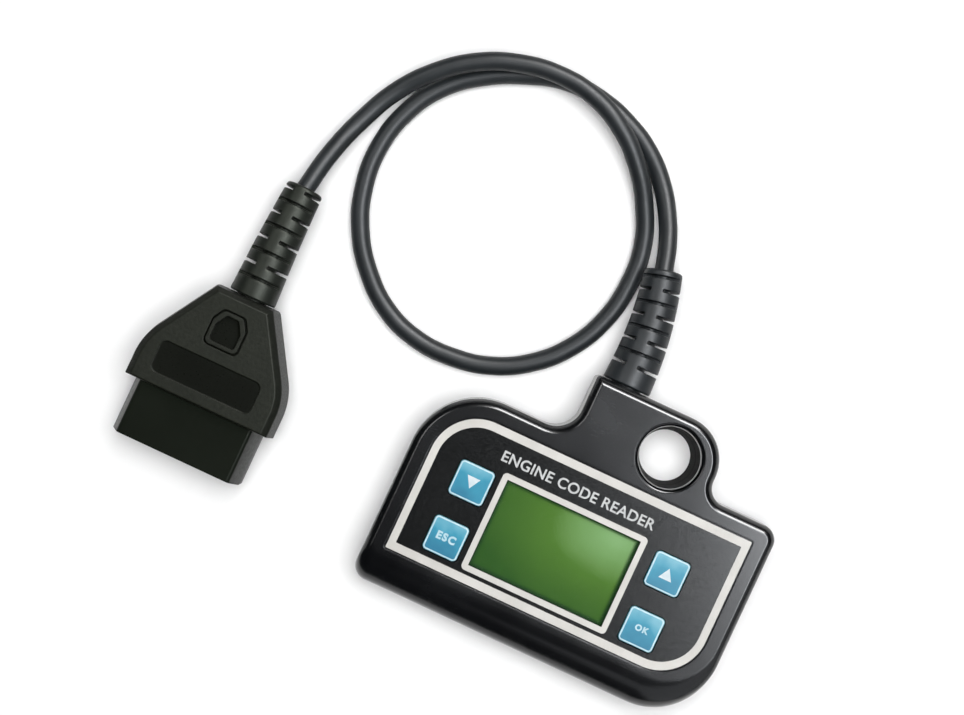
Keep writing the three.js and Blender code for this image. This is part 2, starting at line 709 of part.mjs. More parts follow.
// The lip inside the lower cover's rim, between the insert's flange and the strain relief's.
function plugLip() {
  const layer = (inset, heights) => slab(shapeOf(plugOutline(inset, inset, inset)), heights);
  const seam = [PLUG.middle - GAP / 2, PLUG.middle + GAP / 2];
  const foot = layer(PLUG.wall - 0.5, [seam[0] - LIP.root, seam[0]]);
  const rim = layer(PLUG.wall + 0.1 + GAP, [seam[0] - 0.5, seam[1] + LIP.height]);
  const inside = layer(PLUG.wall + 0.1 + GAP + LIP.thick, [0, PLUG.height]);
  const wide = [PLUG.x - PLUG.half, PLUG.x + PLUG.half];
  const insertRoom = box(wide, [PLUG.front - OVERRUN, CARRIER.back + OVERRUN], [0, PLUG.height]);
  const flangeRoom = box(wide, [12, PLUG.end], [0, PLUG.height]);
  return cut(join(foot, rim), inside, insertRoom, flangeRoom);
}

// The shroud's cross-section, wide below and narrow above, drawn in by `inset`.
function shroudOutline(inset) {
  const half = SHROUD.half - inset;
  const halfTop = SHROUD.halfTop - inset;
  const low = PLUG.middle - SHROUD.height / 2 + inset;
  const high = PLUG.middle + SHROUD.height / 2 - inset;
  const right = [
    new THREE.Vector2(half - 1, low),
    new THREE.Vector2(half - 0.3, low + 0.3),
    new THREE.Vector2(half, low + 1),
    new THREE.Vector2(half, SHROUD.bend),
    new THREE.Vector2(halfTop + 0.25, high - 1),
    new THREE.Vector2(halfTop - 0.2, high - 0.3),
    new THREE.Vector2(halfTop - 1, high),
  ];
  const left = right.map((point) => new THREE.Vector2(-point.x, point.y)).reverse();
  return [...right, ...left].map((point) => point.add(new THREE.Vector2(PLUG.x, 0)));
}

// The five-sided outline of the latch window: a rectangle with its two far corners cut off.
function latchOutline(inset) {
  const half = LATCH.width / 2 - inset;
  const low = LATCH.y - LATCH.height / 2 + inset;
  const high = LATCH.y + LATCH.height / 2 - inset;
  const corners = [
    [-half, low],
    [half, low],
    [half, high - 3.4],
    [half - 2, high],
    [-half + 2, high],
    [-half, high - 3.4],
  ];
  return corners.map(([x, y]) => new THREE.Vector2(LATCH.x + x, y));
}

function plugCovers() {
  const hollow = plugOutline(PLUG.wall + 0.1, PLUG.wall - 0.3, PLUG.wall + 0.2);
  const depths = [PLUG.wall, PLUG.height - PLUG.wall];
  const tools = [
    slab(shapeOf(hollow), depths),
    bar(shapeOf(shroudOutline(-GAP)), [PLUG.front - OVERRUN, PLUG.front + PLUG.wall]),
    postY([PLUG_EXIT.x, PLUG_EXIT.z], RELIEF.neck + GAP, [PLUG.end - 4, PLUG.end + OVERRUN]),
  ];
  const labelArea = around([PLUG_LABEL.x, PLUG_LABEL.y], PLUG_LABEL.width, PLUG_LABEL.height);
  const label = roundedRectangle(labelArea, Array(4).fill(PLUG_LABEL.corner), 4);
  const lip = slab(shapeOf(latchOutline(0)), [PLUG.height - 0.5, PLUG.height + LATCH.lip]);
  const upper = cut(
    join(coverBlank(1), lip),
    ...tools,
    slab(shapeOf(label), [PLUG.height - PLUG_LABEL.depth, PLUG.height + OVERRUN]),
    slab(shapeOf(latchOutline(LATCH.rim)), [PLUG.height - LATCH.depth, PLUG.height + OVERRUN]),
  );
  add("plug_upper_cover", upper, "plug");
  add("plug_lower_cover", join(cut(coverBlank(-1), ...tools), plugLip()), "plug");
}

// Each contact's place in the two rows of eight, as [x, z].
function pinPlace(number) {
  const column = (number - 1) % 8;
  const row = number > 8 ? 1 : -1;
  return [PLUG.x + PIN.pitch * (column - 3.5), PLUG.middle + row * PIN.row];
}

function plugInsert() {
  const front = PLUG.front - SHROUD.length;
  const mouth = bar(shapeOf(shroudOutline(SHROUD.wall)), [front - OVERRUN, CARRIER.front]);
  const shroud = cut(bar(shapeOf(shroudOutline(0)), [front, CARRIER.back - 1.9]), mouth);
  const middle = [PLUG.middle - TONGUE.thick / 2, PLUG.middle + TONGUE.thick / 2];
  const tongue = box([PLUG.x - TONGUE.half, PLUG.x + TONGUE.half], [TONGUE.front, CARRIER.front + 1], middle);
  const flange = bar(shapeOf(shroudOutline(-0.6)), [CARRIER.back - 1.6, CARRIER.back]);
  const slots = PINS.map((number) => {
    const [x, z] = pinPlace(number);
    const halfWidth = PIN.width / 2 + GAP;
    const halfThick = PIN.thick / 2 + GAP;
    const through = [CARRIER.front - OVERRUN, CARRIER.back + OVERRUN];
    return box([x - halfWidth, x + halfWidth], through, [z - halfThick, z + halfThick]);
  });
  const web = bar(shapeOf(shroudOutline(0.5)), [CARRIER.back - 2.5, CARRIER.back - 1]);
  add("plug_insert", cut(join(shroud, tongue, web, flange), ...slots), "plug");
}

// The contacts: flat blades with a chamfered nose.
function contacts() {
  for (const number of PINS) {
    const [x, z] = pinPlace(number);
    const half = PIN.thick / 2;
    const side = [
      [PIN.front, -0.15],
      [PIN.front + 1, -half],
      [PIN.back, -half],
      [PIN.back, half],
      [PIN.front + 1, half],
      [PIN.front, 0.15],
    ].map(([along, up]) => new THREE.Vector2(along, up));
    const blade = new THREE.ExtrudeGeometry(shapeOf(side), { depth: PIN.width, bevelEnabled: false });
    // The blade is drawn along X and stands in Y, so it is turned to run along Y and lie flat in Z.
    blade.translate(0, 0, -PIN.width / 2).rotateX(Math.PI / 2).rotateZ(Math.PI / 2);
    add(`contact_${number}`, blade.translate(x, 0, z), "contact");
  }
}

// The four leads of the cable inside the plug, each to the contact that it serves. They lie two by two
// where they meet the strain relief.
function plugLeads() {
  const served = [
    ["power", 16, 1],
    ["can_low", 14, -1],
    ["can_high", 6, 1],
    ["ground", 5, -1],
  ];
  for (const [name, number, beside] of served) {
    const [pinX, pinZ] = pinPlace(number);
    const x = PLUG_EXIT.x + (beside * LEAD.pitch) / 2;
    const rise = Math.sign(pinZ - PLUG.middle);
    const curve = curveThrough([
      [pinX, PIN.back + GAP, pinZ],
      [pinX, PIN.back + 4, pinZ],
      [(pinX + x) / 2, 3, PLUG.middle + rise * 2],
      [x, 9, PLUG.middle + rise * 0.9],
      [x, 12.7, PLUG.middle + rise * 0.9],
    ]);
    add(`plug_lead_${name}`, tube(curve, LEAD.diameter, 6, 10), LEAD_FINISH[name]);
  }
}

backShell();
frontShell();
caseScrews();
faceOverlay();
keysAndSwitches();
displayStack();
mainBoard();
components();
boardConnector();
boardLeads();
cableAndReliefs();
plugCovers();
plugInsert();
contacts();
plugLeads();

export default object;
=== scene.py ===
import json
import math

import bmesh
import bpy
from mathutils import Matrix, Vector


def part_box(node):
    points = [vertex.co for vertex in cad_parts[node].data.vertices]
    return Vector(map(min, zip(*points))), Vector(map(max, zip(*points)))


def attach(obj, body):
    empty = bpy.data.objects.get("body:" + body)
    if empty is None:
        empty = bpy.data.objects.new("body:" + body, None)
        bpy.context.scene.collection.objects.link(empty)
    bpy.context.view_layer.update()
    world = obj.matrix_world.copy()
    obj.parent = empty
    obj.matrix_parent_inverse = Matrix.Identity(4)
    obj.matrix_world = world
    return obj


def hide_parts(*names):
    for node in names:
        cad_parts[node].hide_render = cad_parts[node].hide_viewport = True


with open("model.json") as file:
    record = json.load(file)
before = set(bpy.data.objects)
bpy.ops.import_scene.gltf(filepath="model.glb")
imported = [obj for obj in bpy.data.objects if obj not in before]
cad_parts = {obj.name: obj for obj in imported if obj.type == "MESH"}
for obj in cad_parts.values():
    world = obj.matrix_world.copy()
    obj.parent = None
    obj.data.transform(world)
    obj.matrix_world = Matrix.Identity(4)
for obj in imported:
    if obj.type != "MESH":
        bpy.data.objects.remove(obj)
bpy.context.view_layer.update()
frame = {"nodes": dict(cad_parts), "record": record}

# Lengths are in millimetres in the CAD model's frame, and `mesh_piece` turns them into metres.
MM = 0.001


def box_mm(node):
    """A CAD node's lowest and highest corners in millimetres."""
    low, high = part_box(node)
    return low / MM, high / MM


# ---- Sizes: what the CAD model's boxes don't say ----

CASE_LOW, CASE_HIGH = box_mm("front_shell")
LIP_TOP = box_mm("back_shell")[1].z
SEAM_LOW = 9.35  # the back shell's rim, below the lip that stands up inside the front shell
WALL = 2.2

# The case's outline: the body's upper edge, the neck's and the ring's sides, and each corner's radius.
CASE_SHOULDER = 21.7
NECK_LEFT, NECK_ROOM_RIGHT = -12.8, 4.6
RING_RIGHT = 29.7
CORNER = dict(bottom_left=4.4, bottom_right=18.9, top_right=4.6, ring_inner=5.0, ring=12.7)
CORNER.update(neck_top=1.2, neck_inner=7.6, top_left=20.35)

# How the front turns in: the edge of its face, and the wide slope below the face. The back's edge is
# in pairs of a height and how far the outline is drawn in there.
EDGE_START, EDGE_DRAFT, EDGE_WIDTH, EDGE_POWER = 17.4, 0.2, 2.3, 1.6
SLOPE_START, SLOPE_WIDTH, SLOPE_POWER = 13.0, 9.9, 2.0
BACK_EDGE = [(0, 1.7), (0.12, 1.2), (0.4, 0.72), (0.8, 0.4), (1.3, 0.18), (1.9, 0.05), (2.6, 0)]
SOFT_EDGE = 0.14

# The hole through the ring: its radii at the back, below the mouth and at the face, and its post's.
RING_CENTRE = (15.4, 27.5)
RING_BACK, RING_NECK, RING_MOUTH, RING_SLEEVE = 7.4, 8.8, 9.9, 11

# Inside the case: the hollow's lower end, the screws' bosses and holes, and the room round the strain
# relief's flange, as (low, high) in Y.
HOLLOW_END = -36
BOSS_RADIUS, BOSS_ROOM, SCREW_HOLE, PILOT_TOP = 3, 3.3, 1.5, 16
SINK_RADIUS, SINK_TOP = 2.9, 2.7
FLANGE_ROOM = (33, 40.4)

# The face.
LABEL_ROUND, LABEL_SHARP = 14.0, 0.5
LABEL_RADII = (LABEL_SHARP, LABEL_ROUND, LABEL_SHARP, LABEL_ROUND)
LABEL_BORDER = (2.35, 2.6)  # the pale border's width at the sides, and above and below
SCREEN_BORDER = 1.8
PRINT_RISE = 0.03
TITLE, TITLE_CENTRE, TITLE_WIDTH = "ENGINE CODE READER", (-4.15, 8.2), 47.0
KEYS = ("down", "escape", "up", "ok")
KEY_CORNER, KEY_EDGE, KEY_LINE = 1.3, 0.3, 0.3
ARROWS = {"down": -1, "up": 1}
ARROW_HALF, ARROW_HEIGHT = 1.95, 3.4
LEGENDS = {"escape": ("ESC", 5.7), "ok": ("OK", 4.1)}  # the words and how wide they are
FACE_PIECES = ["face_film", "label_border", "screen_border", "title", "display_window", "lcd_glass"]
FACE_PIECES += [f"{kind}_{key}" for key in KEYS for kind in ("pad", "mark")]

# The cable and its strain reliefs, which end in a flange inside a round bore.
CABLE_RADIUS = 2.7
READER_CABLE, PLUG_CABLE = (-3.7, 10.0), (-110.7, 12.0)  # where the cable comes in, as (x, z)
BORE_RADIUS = 4.8
FLANGE_RADIUS, FLANGE_THICK, SLEEVE_NECK = 6.0, 2.5, 4.5
SLEEVE_LENGTH, SLEEVE_TIP = 34.6, 0.9
SLOT_WIDTH, SLOT_WEB, SLOT_REACH = 0.95, 1.75, 9

# The plug.
PLUG_LOW, PLUG_HIGH = box_mm("plug_lower_cover")
PLUG_X = (PLUG_LOW.x + PLUG_HIGH.x) / 2
PLUG_HALF = (PLUG_HIGH.x - PLUG_LOW.x) / 2
PLUG_FRONT, PLUG_END = PLUG_LOW.y, PLUG_HIGH.y
PLUG_MIDDLE, PLUG_HEIGHT = 12.0, 24.0
PLUG_WALL = 2.4
SIDE_RADIUS, SIDE_LEAN, SIDE_START = 20.0, 31.6, -9.0
PANEL_CENTRE, PANEL_HALF, PANEL_ROUND, PANEL_DEPTH = (-112, -6.8), (15.3, 4.7), 2, 0.4
LATCH_CENTRE, LATCH_HALF, LATCH_ROUND = (-111.9, 7.2), (4.9, 5.15), 1.5
LATCH_CUT = (2.0, 3.4)  # how much is cut off its far corners, across and along
LATCH_DEPTH, LATCH_GROOVE, LATCH_RIM, LATCH_RISE = 1.2, 0.4, 1.1, 0.5
SHROUD_HALF, SHROUD_HALF_TOP, SHROUD_RISE, SHROUD_KNEE = 19.6, 17.4, 9, 13
SHROUD_ROUND, SHROUD_WALL, SHROUD_FLANGE = 1.2, 1.4, 0.6
CARRIER_FRONT, TONGUE_FRONT, TONGUE_HALF = -17.0, -26, (15, 1)
CAVITY_HALF, CAVITY_DEPTH, CAVITY_PITCH, CAVITY_ROW = (1, 0.7), 1.5, 4, 4.6
CAVITY_COLUMNS = 8
CONTACTS = (2, 4, 5, 6, 7, 10, 14, 15, 16)
LEADS = ("power", "ground", "can_high", "can_low")

# The cable's route from the reader to the plug, the same points as the CAD model's cable has.
ROUTE = [
    (-7.9, 75.6, 8.9), (-9.9, 82.6, 7.2), (-13.2, 90.0, 4.8), (-18.4, 97.8, 3.0),
    (-25.6, 104.6, 2.75), (-34.6, 109.6, 2.75), (-45.0, 112.7, 2.75), (-56.0, 113.2, 2.75),
    (-67.2, 109.9, 2.75), (-78.4, 104.2, 2.75), (-87.6, 96.4, 2.75), (-94.0, 85.8, 2.75),
    (-96.9, 73.6, 2.75), (-96.0, 60.8, 2.75), (-91.6, 49.0, 2.75), (-84.4, 39.2, 2.75),
    (-75.0, 31.6, 2.75), (-64.0, 27.6, 2.75), (-52.4, 27.2, 2.75), (-41.0, 29.7, 2.75),
    (-30.6, 35.6, 2.75), (-22.4, 44.3, 2.75), (-17.0, 55.2, 2.75), (-14.9, 67.4, 2.75),
    (-15.9, 79.2, 2.8), (-20.3, 89.7, 4.0), (-27.2, 99.3, 6.4), (-36.2, 107.0, 8.2),
    (-47.2, 112.0, 8.5), (-58.9, 113.3, 8.5), (-70.4, 111.4, 8.5), (-81.4, 106.7, 8.3),
    (-91.1, 99.2, 7.4), (-99.0, 89.6, 5.6), (-104.6, 77.8, 5.6), (-108.4, 65.2, 8.0),
    (-110.2, 54.0, 10.4),
]

# ---- Camera, light and floor ----

CAMERA_PLACE = Vector((-44.4, 30.75, 650.0))
CAMERA_TURN = math.radians(25)
SENSOR_WIDTH, LENS = 36.0, 83.8
LIGHT_AIM = Vector((-0.03, 0.03, 0.0))
COOL_WHITE = (0.93, 0.96, 1.0)
FLOOR_REACH = 3.0


def set_camera():
    camera = bpy.data.objects.new("camera", bpy.data.cameras.new("camera"))
    camera.location = CAMERA_PLACE * MM
    camera.rotation_euler = (0, 0, CAMERA_TURN)
    camera.data.sensor_width = SENSOR_WIDTH
    camera.data.lens = LENS
    camera.data.clip_start = 0.01
    bpy.context.scene.collection.objects.link(camera)
    bpy.context.scene.camera = camera


def area_light(
    name, azimuth, tilt, size, radiance, distance=1.1, colour=(1, 1, 1), in_gloss=True, in_diffuse=True
):
    """A rectangular light that faces the object from that distance in metres. The azimuth is in degrees
    from +X towards +Y, and the tilt is in degrees from straight above. A light that isn't in gloss is
    not mirrored in the pieces, and one that isn't in diffuse is only mirrored."""
    light = bpy.data.objects.new(name, bpy.data.lights.new(name, "AREA"))
    turn, lean = math.radians(azimuth), math.radians(tilt)
    way = Vector((math.sin(lean) * math.cos(turn), math.sin(lean) * math.sin(turn), math.cos(lean)))
    light.location = LIGHT_AIM + way * distance
    light.rotation_euler = way.to_track_quat("Z", "Y").to_euler()
    light.data.shape = "RECTANGLE"
    light.data.size, light.data.size_y = size
    light.data.energy = radiance * math.pi * size[0] * size[1]
    light.data.color = colour
    light.visible_glossy = light.visible_transmission = in_gloss
    light.visible_diffuse = in_diffuse
    bpy.context.scene.collection.objects.link(light)
    return light


def keep_glare_off(light, pieces):
    """The light isn't mirrored in these pieces, so what is printed on them can be read from any side."""
    spared = bpy.data.collections.new("no_glare")
    light.light_linking.receiver_collection = spared
    for piece in pieces:
        spared.objects.link(piece)
    for entry in spared.collection_objects:
        entry.light_linking.link_state = "EXCLUDE"


def set_stage():
    """A pale floor under soft studio light."""
    scene = bpy.context.scene
    scene.view_settings.view_transform = "Standard"
    world = bpy.data.worlds.new("studio")
    world.use_nodes = True
    background = world.node_tree.nodes["Background"]
    background.inputs["Color"].default_value = (0.95, 0.97, 1.0, 1)
    background.inputs["Strength"].default_value = 0.04
    scene.world = world
    key_light = area_light("key_light", 82, 43, (0.45, 0.5), 26, in_diffuse=False)
    keep_glare_off(key_light, [bpy.data.objects[name] for name in FACE_PIECES])
    area_light("panel_card", 24, 23.5, (0.45, 0.3), 17, 0.8, COOL_WHITE, in_diffuse=False)
    area_light("side_card", -36, 58, (1.3, 1.0), 0.7, 1.0, COOL_WHITE, in_diffuse=False)
    area_light("rim_light", 168, 38, (0.5, 0.16), 9, in_diffuse=False)
    area_light("overhead_light", 60, 4, (0.9, 0.9), 8.3, 1.3, in_gloss=False)
    mesh = bpy.data.meshes.new("floor")
    reach = FLOOR_REACH
    corners = [(-reach, -reach, 0), (reach, -reach, 0), (reach, reach, 0), (-reach, reach, 0)]
    mesh.from_pydata(corners, [], [(0, 1, 2, 3)])
    floor = bpy.data.objects.new("floor", mesh)
    scene.collection.objects.link(floor)
    floor.data.materials.append(surface("floor_paper", (0.92, 0.92, 0.92), (0.94, 0.94, 0.94), 0.7))


# ---- Materials ----

MOULD_TINT = (0.96, 1.0, 0.88, 1)  # the tint of what the plug's black mouldings mirror


class Nodes:
    """A material's node tree, with short ways to add a node and to link it."""

    def __init__(self, name):
        self.material = bpy.data.materials.new(name)
        self.material.use_nodes = True
        self.tree = self.material.node_tree
        self.shader = self.tree.nodes["Principled BSDF"]
        self.place = self.add("ShaderNodeTexCoord").outputs["Object"]

    def add(self, kind, links=(), **values):
        node = self.tree.nodes.new(kind)
        for key, value in values.items():
            setattr(node, key, value)
        for name, source in links:
            if hasattr(source, "is_linked"):
                self.tree.links.new(source, node.inputs[name])
            else:
                node.inputs[name].default_value = source
        return node

    def noise(self, scale, detail=2.0, source=None):
        links = [("Vector", source or self.place), ("Scale", scale), ("Detail", detail)]
        return self.add("ShaderNodeTexNoise", links).outputs["Fac"]

    def ranged(self, source, low, high, start=0.0, end=1.0):
        """Maps start to low and end to high, and clamps what lies outside."""
        links = [("Value", source), ("From Min", start), ("From Max", end)]
        links += [("To Min", low), ("To Max", high)]
        return self.add("ShaderNodeMapRange", links).outputs["Result"]

    def maths(self, operation, first, second=0.0):
        links = [(0, first), (1, second)]
        return self.add("ShaderNodeMath", links, operation=operation).outputs[0]

    def mixed(self, factor, first, second):
        node = self.add("ShaderNodeMix", data_type="RGBA")
        for socket, source in (("Factor", factor), ("A", first), ("B", second)):
            inputs = [i for i in node.inputs if i.name == socket and i.type in ("VALUE", "RGBA")]
            target = inputs[0] if socket == "Factor" else inputs[-1]
            if hasattr(source, "is_linked"):
                self.tree.links.new(source, target)
            else:
                target.default_value = source if socket == "Factor" else (*source, 1)
        return [o for o in node.outputs if o.type == "RGBA"][0]

    def bump(self, height, strength, depth):
        """Bumps of that depth in millimetres."""
        links = [("Height", height), ("Strength", strength), ("Distance", depth * MM)]
        self.link(self.add("ShaderNodeBump", links).outputs["Normal"], "Normal")

    def link(self, source, name):
        self.tree.links.new(source, self.shader.inputs[name])

    def set(self, **values):
        for name, value in values.items():
            self.shader.inputs[name.replace("_", " ")].default_value = value


def surface(name, dark, light, roughness, patch=40.0, grain=2500.0, bump=0.15, depth=0.02, **values):
    """A plain moulded or printed surface: two close shades in soft patches, and a fine grain."""
    nodes = Nodes(name)
    patches = nodes.noise(patch, 3.0)
    grains = nodes.noise(grain, 2.0)
    nodes.link(nodes.mixed(nodes.ranged(patches, 0, 1, 0.35, 0.65), dark, light), "Base Color")
    nodes.link(nodes.ranged(grains, roughness - 0.05, roughness + 0.05, 0.3, 0.7), "Roughness")
    nodes.bump(grains, bump, depth)
    nodes.set(**values)
    return nodes.material


def case_gloss():
    """Polished black moulding: a smooth skin with a faint waviness and hairline handling marks."""
    nodes = Nodes("case_gloss")
    smudges = nodes.noise(55.0, 4.0)
    waves = nodes.noise(260.0, 1.0)
    stretch = [("Vector", nodes.place), ("Scale", (1.0, 14.0, 1.0)), ("Rotation", (0, 0, 0.5))]
    stretched = nodes.add("ShaderNodeMapping", stretch).outputs["Vector"]
    hairs = nodes.ranged(nodes.noise(420.0, 3.0, stretched), 0, 1, 0.62, 0.7)
    nodes.link(nodes.mixed(smudges, (0.0008, 0.0010, 0.0014), (0.0018, 0.0021, 0.0029)), "Base Color")
    gloss = nodes.ranged(smudges, 0.22, 0.28, 0.35, 0.7)
    nodes.link(nodes.maths("ADD", gloss, nodes.maths("MULTIPLY", hairs, 0.02)), "Roughness")
    nodes.bump(waves, 0.02, 0.05)
    nodes.set(Specular_IOR_Level=0.4, Coat_Weight=0.35, Coat_Roughness=0.15)
    return nodes.material


def plug_texture():
    """Spark-eroded black moulding: a fine even grain with soft wear."""
    nodes = Nodes("plug_texture")
    patches = nodes.noise(70.0, 3.0)
    grains = nodes.noise(1900.0, 2.5)
    pits = nodes.ranged(nodes.noise(1000.0, 3.0), 0, 1, 0.3, 0.7)
    shade = nodes.maths("MULTIPLY", patches, pits)
    nodes.link(nodes.mixed(shade, (0.0030, 0.0038, 0.0022), (0.0110, 0.0124, 0.0084)), "Base Color")
    nodes.link(nodes.ranged(grains, 0.42, 0.58, 0.3, 0.7), "Roughness")
    nodes.bump(pits, 0.4, 0.06)
    nodes.set(Specular_IOR_Level=0.19, Specular_Tint=MOULD_TINT)
    return nodes.material


def key_print():
    """Blue key colour, paler towards its upper edge."""
    nodes = Nodes("key_print")
    own_box = nodes.add("ShaderNodeTexCoord").outputs["Generated"]
    local = nodes.add("ShaderNodeSeparateXYZ", [("Vector", own_box)])
    cloud = nodes.noise(160.0, 2.0)
    height = nodes.maths("ADD", local.outputs["Y"], cloud)
    body = nodes.mixed(nodes.ranged(height, 0, 1, 0.5, 1.15), (0.002, 0.168, 0.29), (0.012, 0.27, 0.41))
    colour = nodes.mixed(nodes.ranged(height, 0, 1, 1.05, 1.6), body, (0.17, 0.45, 0.56))
    nodes.link(colour, "Base Color")
    grains = nodes.noise(2600.0)
    nodes.link(nodes.ranged(grains, 0.28, 0.36, 0.3, 0.7), "Roughness")
    nodes.bump(grains, 0.1, 0.02)
    nodes.set(Specular_IOR_Level=0.3)
    return nodes.material


def screen_green():
    """A lit, blank liquid crystal: green, with painted light on it: a painted glare and lighter green
    towards its upper right, and painted shade at its rim.
    """
    nodes = Nodes("screen_green")
    low, high = box_mm("display_window")
    width, depth = high.x - low.x, high.y - low.y
    to_unit = [
        ("Vector", nodes.place),
        ("Location", (-(low.x + high.x) / width, -(low.y + high.y) / depth, 0)),
        ("Scale", (2 / width / MM, 2 / depth / MM, 1)),
    ]
    centre = nodes.add("ShaderNodeMapping", to_unit).outputs["Vector"]
    axes = nodes.add("ShaderNodeSeparateXYZ", [("Vector", centre)])
    x, y = axes.outputs["X"], axes.outputs["Y"]
    # Painted glare: its centre lies towards the screen's upper right, in halves of the screen's size.
    painted_glare_centre = nodes.add("ShaderNodeCombineXYZ", [("X", 0.72), ("Y", 0.85)]).outputs[0]
    flat = nodes.add("ShaderNodeCombineXYZ", [("X", x), ("Y", y)]).outputs[0]
    gap = nodes.add("ShaderNodeVectorMath", [(0, flat), (1, painted_glare_centre)], operation="DISTANCE")
    cloud = nodes.maths("MULTIPLY", nodes.noise(60.0, 2.0), 0.35)
    away = nodes.maths("ADD", gap.outputs["Value"], cloud)
    # Painted light: the green darkens away from the painted glare, towards the lower left.
    base = nodes.mixed(nodes.ranged(away, 0, 1, 2.3, 0.7), (0.023, 0.081, 0.012), (0.085, 0.196, 0.027))
    # Painted glare: a pale green patch round its centre.
    painted_glare = nodes.mixed(nodes.ranged(away, 0, 1, 1.15, 0.15), base, (0.23, 0.42, 0.18))
    # Painted shade: darker green along the screen's rim.
    painted_rim_shade = [nodes.ranged(nodes.maths("ABSOLUTE", a), 0, 1, start) for a, start in ((x, 0.95), (y, 0.93))]
    colour = nodes.mixed(nodes.maths("MAXIMUM", *painted_rim_shade), painted_glare, (0.012, 0.045, 0.012))
    nodes.link(colour, "Base Color")
    # The screen glows in the same colour, with the painted glare and painted shade in it.
    nodes.link(colour, "Emission Color")
    nodes.set(Emission_Strength=0.1, Roughness=0.6, Specular_IOR_Level=0.05)
    return nodes.material


def window_clear():
    nodes = Nodes("window_clear")
    grains = nodes.noise(900.0)
    nodes.link(nodes.ranged(grains, 0.03, 0.07, 0.3, 0.7), "Roughness")
    nodes.link(nodes.mixed(nodes.noise(50.0), (0.97, 0.99, 0.97), (0.99, 1.0, 0.99)), "Base Color")
    nodes.set(Transmission_Weight=1.0, IOR=1.49)
    return nodes.material


RUBBER_GRAIN = dict(patch=90.0, grain=1500.0, bump=0.2)
MATERIALS = {
    "case_plastic": case_gloss(),
    "overlay_film": surface(
        "overlay_film", (0.0018, 0.0022, 0.0021), (0.0032, 0.0037, 0.0036), 0.22, bump=0.04
    ),
    "key_cap": key_print(),
    "clear_window": window_clear(),
    "lcd_screen": screen_green(),
    "backlight_panel": surface("backlight_panel", (0.72, 0.75, 0.62), (0.8, 0.83, 0.7), 0.5),
    "bright_metal": surface("bright_metal", (0.50, 0.51, 0.52), (0.62, 0.63, 0.64), 0.3, Metallic=1.0),
    "circuit_board": surface("circuit_board", (0.012, 0.09, 0.03), (0.025, 0.14, 0.05), 0.4, patch=300.0),
    "chip_black": surface("chip_black", (0.014, 0.014, 0.015), (0.022, 0.022, 0.024), 0.55),
    "connector_nylon": surface("connector_nylon", (0.70, 0.66, 0.55), (0.8, 0.76, 0.65), 0.5),
    "cable_rubber": surface(
        "cable_rubber",
        (0.0095, 0.0120, 0.0138),
        (0.0140, 0.0172, 0.0195),
        0.44,
        Specular_IOR_Level=0.34,
        **RUBBER_GRAIN,
    ),
    "plug_plastic": plug_texture(),
    "contact_gold": surface("contact_gold", (0.75, 0.52, 0.20), (0.86, 0.66, 0.30), 0.25, Metallic=1.0),
    "wire_red": surface("wire_red", (0.42, 0.015, 0.015), (0.52, 0.025, 0.02), 0.45),
    "wire_black": surface("wire_black", (0.012, 0.012, 0.013), (0.02, 0.02, 0.021), 0.45),
    "wire_yellow": surface("wire_yellow", (0.62, 0.42, 0.02), (0.72, 0.5, 0.04), 0.45),
    "wire_green": surface("wire_green", (0.02, 0.22, 0.05), (0.03, 0.28, 0.07), 0.45),
}
BORDER_PRINT = surface("border_print", (0.53, 0.515, 0.48), (0.60, 0.585, 0.55), 0.45, patch=120.0, bump=0.1)
TITLE_PRINT = surface("title_print", (0.42, 0.43, 0.43), (0.56, 0.57, 0.57), 0.5, patch=900.0, bump=0.1)
KEY_PRINT = surface("key_line_print", (0.40, 0.62, 0.70), (0.52, 0.72, 0.78), 0.45, patch=500.0, bump=0.1)
SYMBOL_PRINT = surface("symbol_print", (0.52, 0.62, 0.66), (0.62, 0.70, 0.73), 0.45, patch=500.0, bump=0.1)
LEGEND_PRINT = surface("legend_print", (0.34, 0.56, 0.64), (0.44, 0.64, 0.70), 0.45, patch=500.0, bump=0.1)
RING_WALL = surface(
    "ring_wall", (0.0016, 0.0018, 0.002), (0.003, 0.0033, 0.0036), 0.75, Specular_IOR_Level=0.1
)
RECESS_SATIN = surface(
    "recess_satin",
    (0.0012, 0.0017, 0.0008),
    (0.0022, 0.0028, 0.0016),
    0.32,
    bump=0.04,
    Specular_IOR_Level=0.2,
    Specular_Tint=MOULD_TINT,
)
SHROUD_SATIN = surface(
    "shroud_satin",
    (0.0018, 0.0032, 0.0014),
    (0.0032, 0.0050, 0.0026),
    0.38,
    grain=1000.0,
    bump=0.2,
    Specular_IOR_Level=0.11,
    Specular_Tint=MOULD_TINT,
)
PLUG_BOOT = surface(
    "plug_boot",
    (0.0048, 0.0066, 0.0048),
    (0.0078, 0.0100, 0.0076),
    0.46,
    Specular_IOR_Level=0.27,
    Specular_Tint=MOULD_TINT,
    **RUBBER_GRAIN,
)


def finish_cad_nodes():
    """Gives each node of the CAD model the material of its slot."""
    for part in frame["record"]["subparts"]:
        node = frame["nodes"][part["node"]]
        node.data.materials.clear()
        node.data.materials.append(MATERIALS[part["material_slot"]])


# ---- Mesh tools ----


def mesh_piece(name, points, faces):
    mesh = bpy.data.meshes.new(name)
    mesh.from_pydata([Vector(p) * MM for p in points], [], faces)
    mesh.validate()
    piece = bpy.data.objects.new(name, mesh)
    bpy.context.scene.collection.objects.link(piece)
    return piece


def arc(centre, radius, start, end, steps):
    """Points of an arc, its angles in degrees."""
    angles = [math.radians(start + (end - start) * i / steps) for i in range(steps + 1)]
    return [(centre[0] + radius * math.cos(a), centre[1] + radius * math.sin(a)) for a in angles]


def around(centre, half):
    """The lower left and upper right corners of a rectangle round a centre."""
    return (centre[0] - half[0], centre[1] - half[1]), (centre[0] + half[0], centre[1] + half[1])


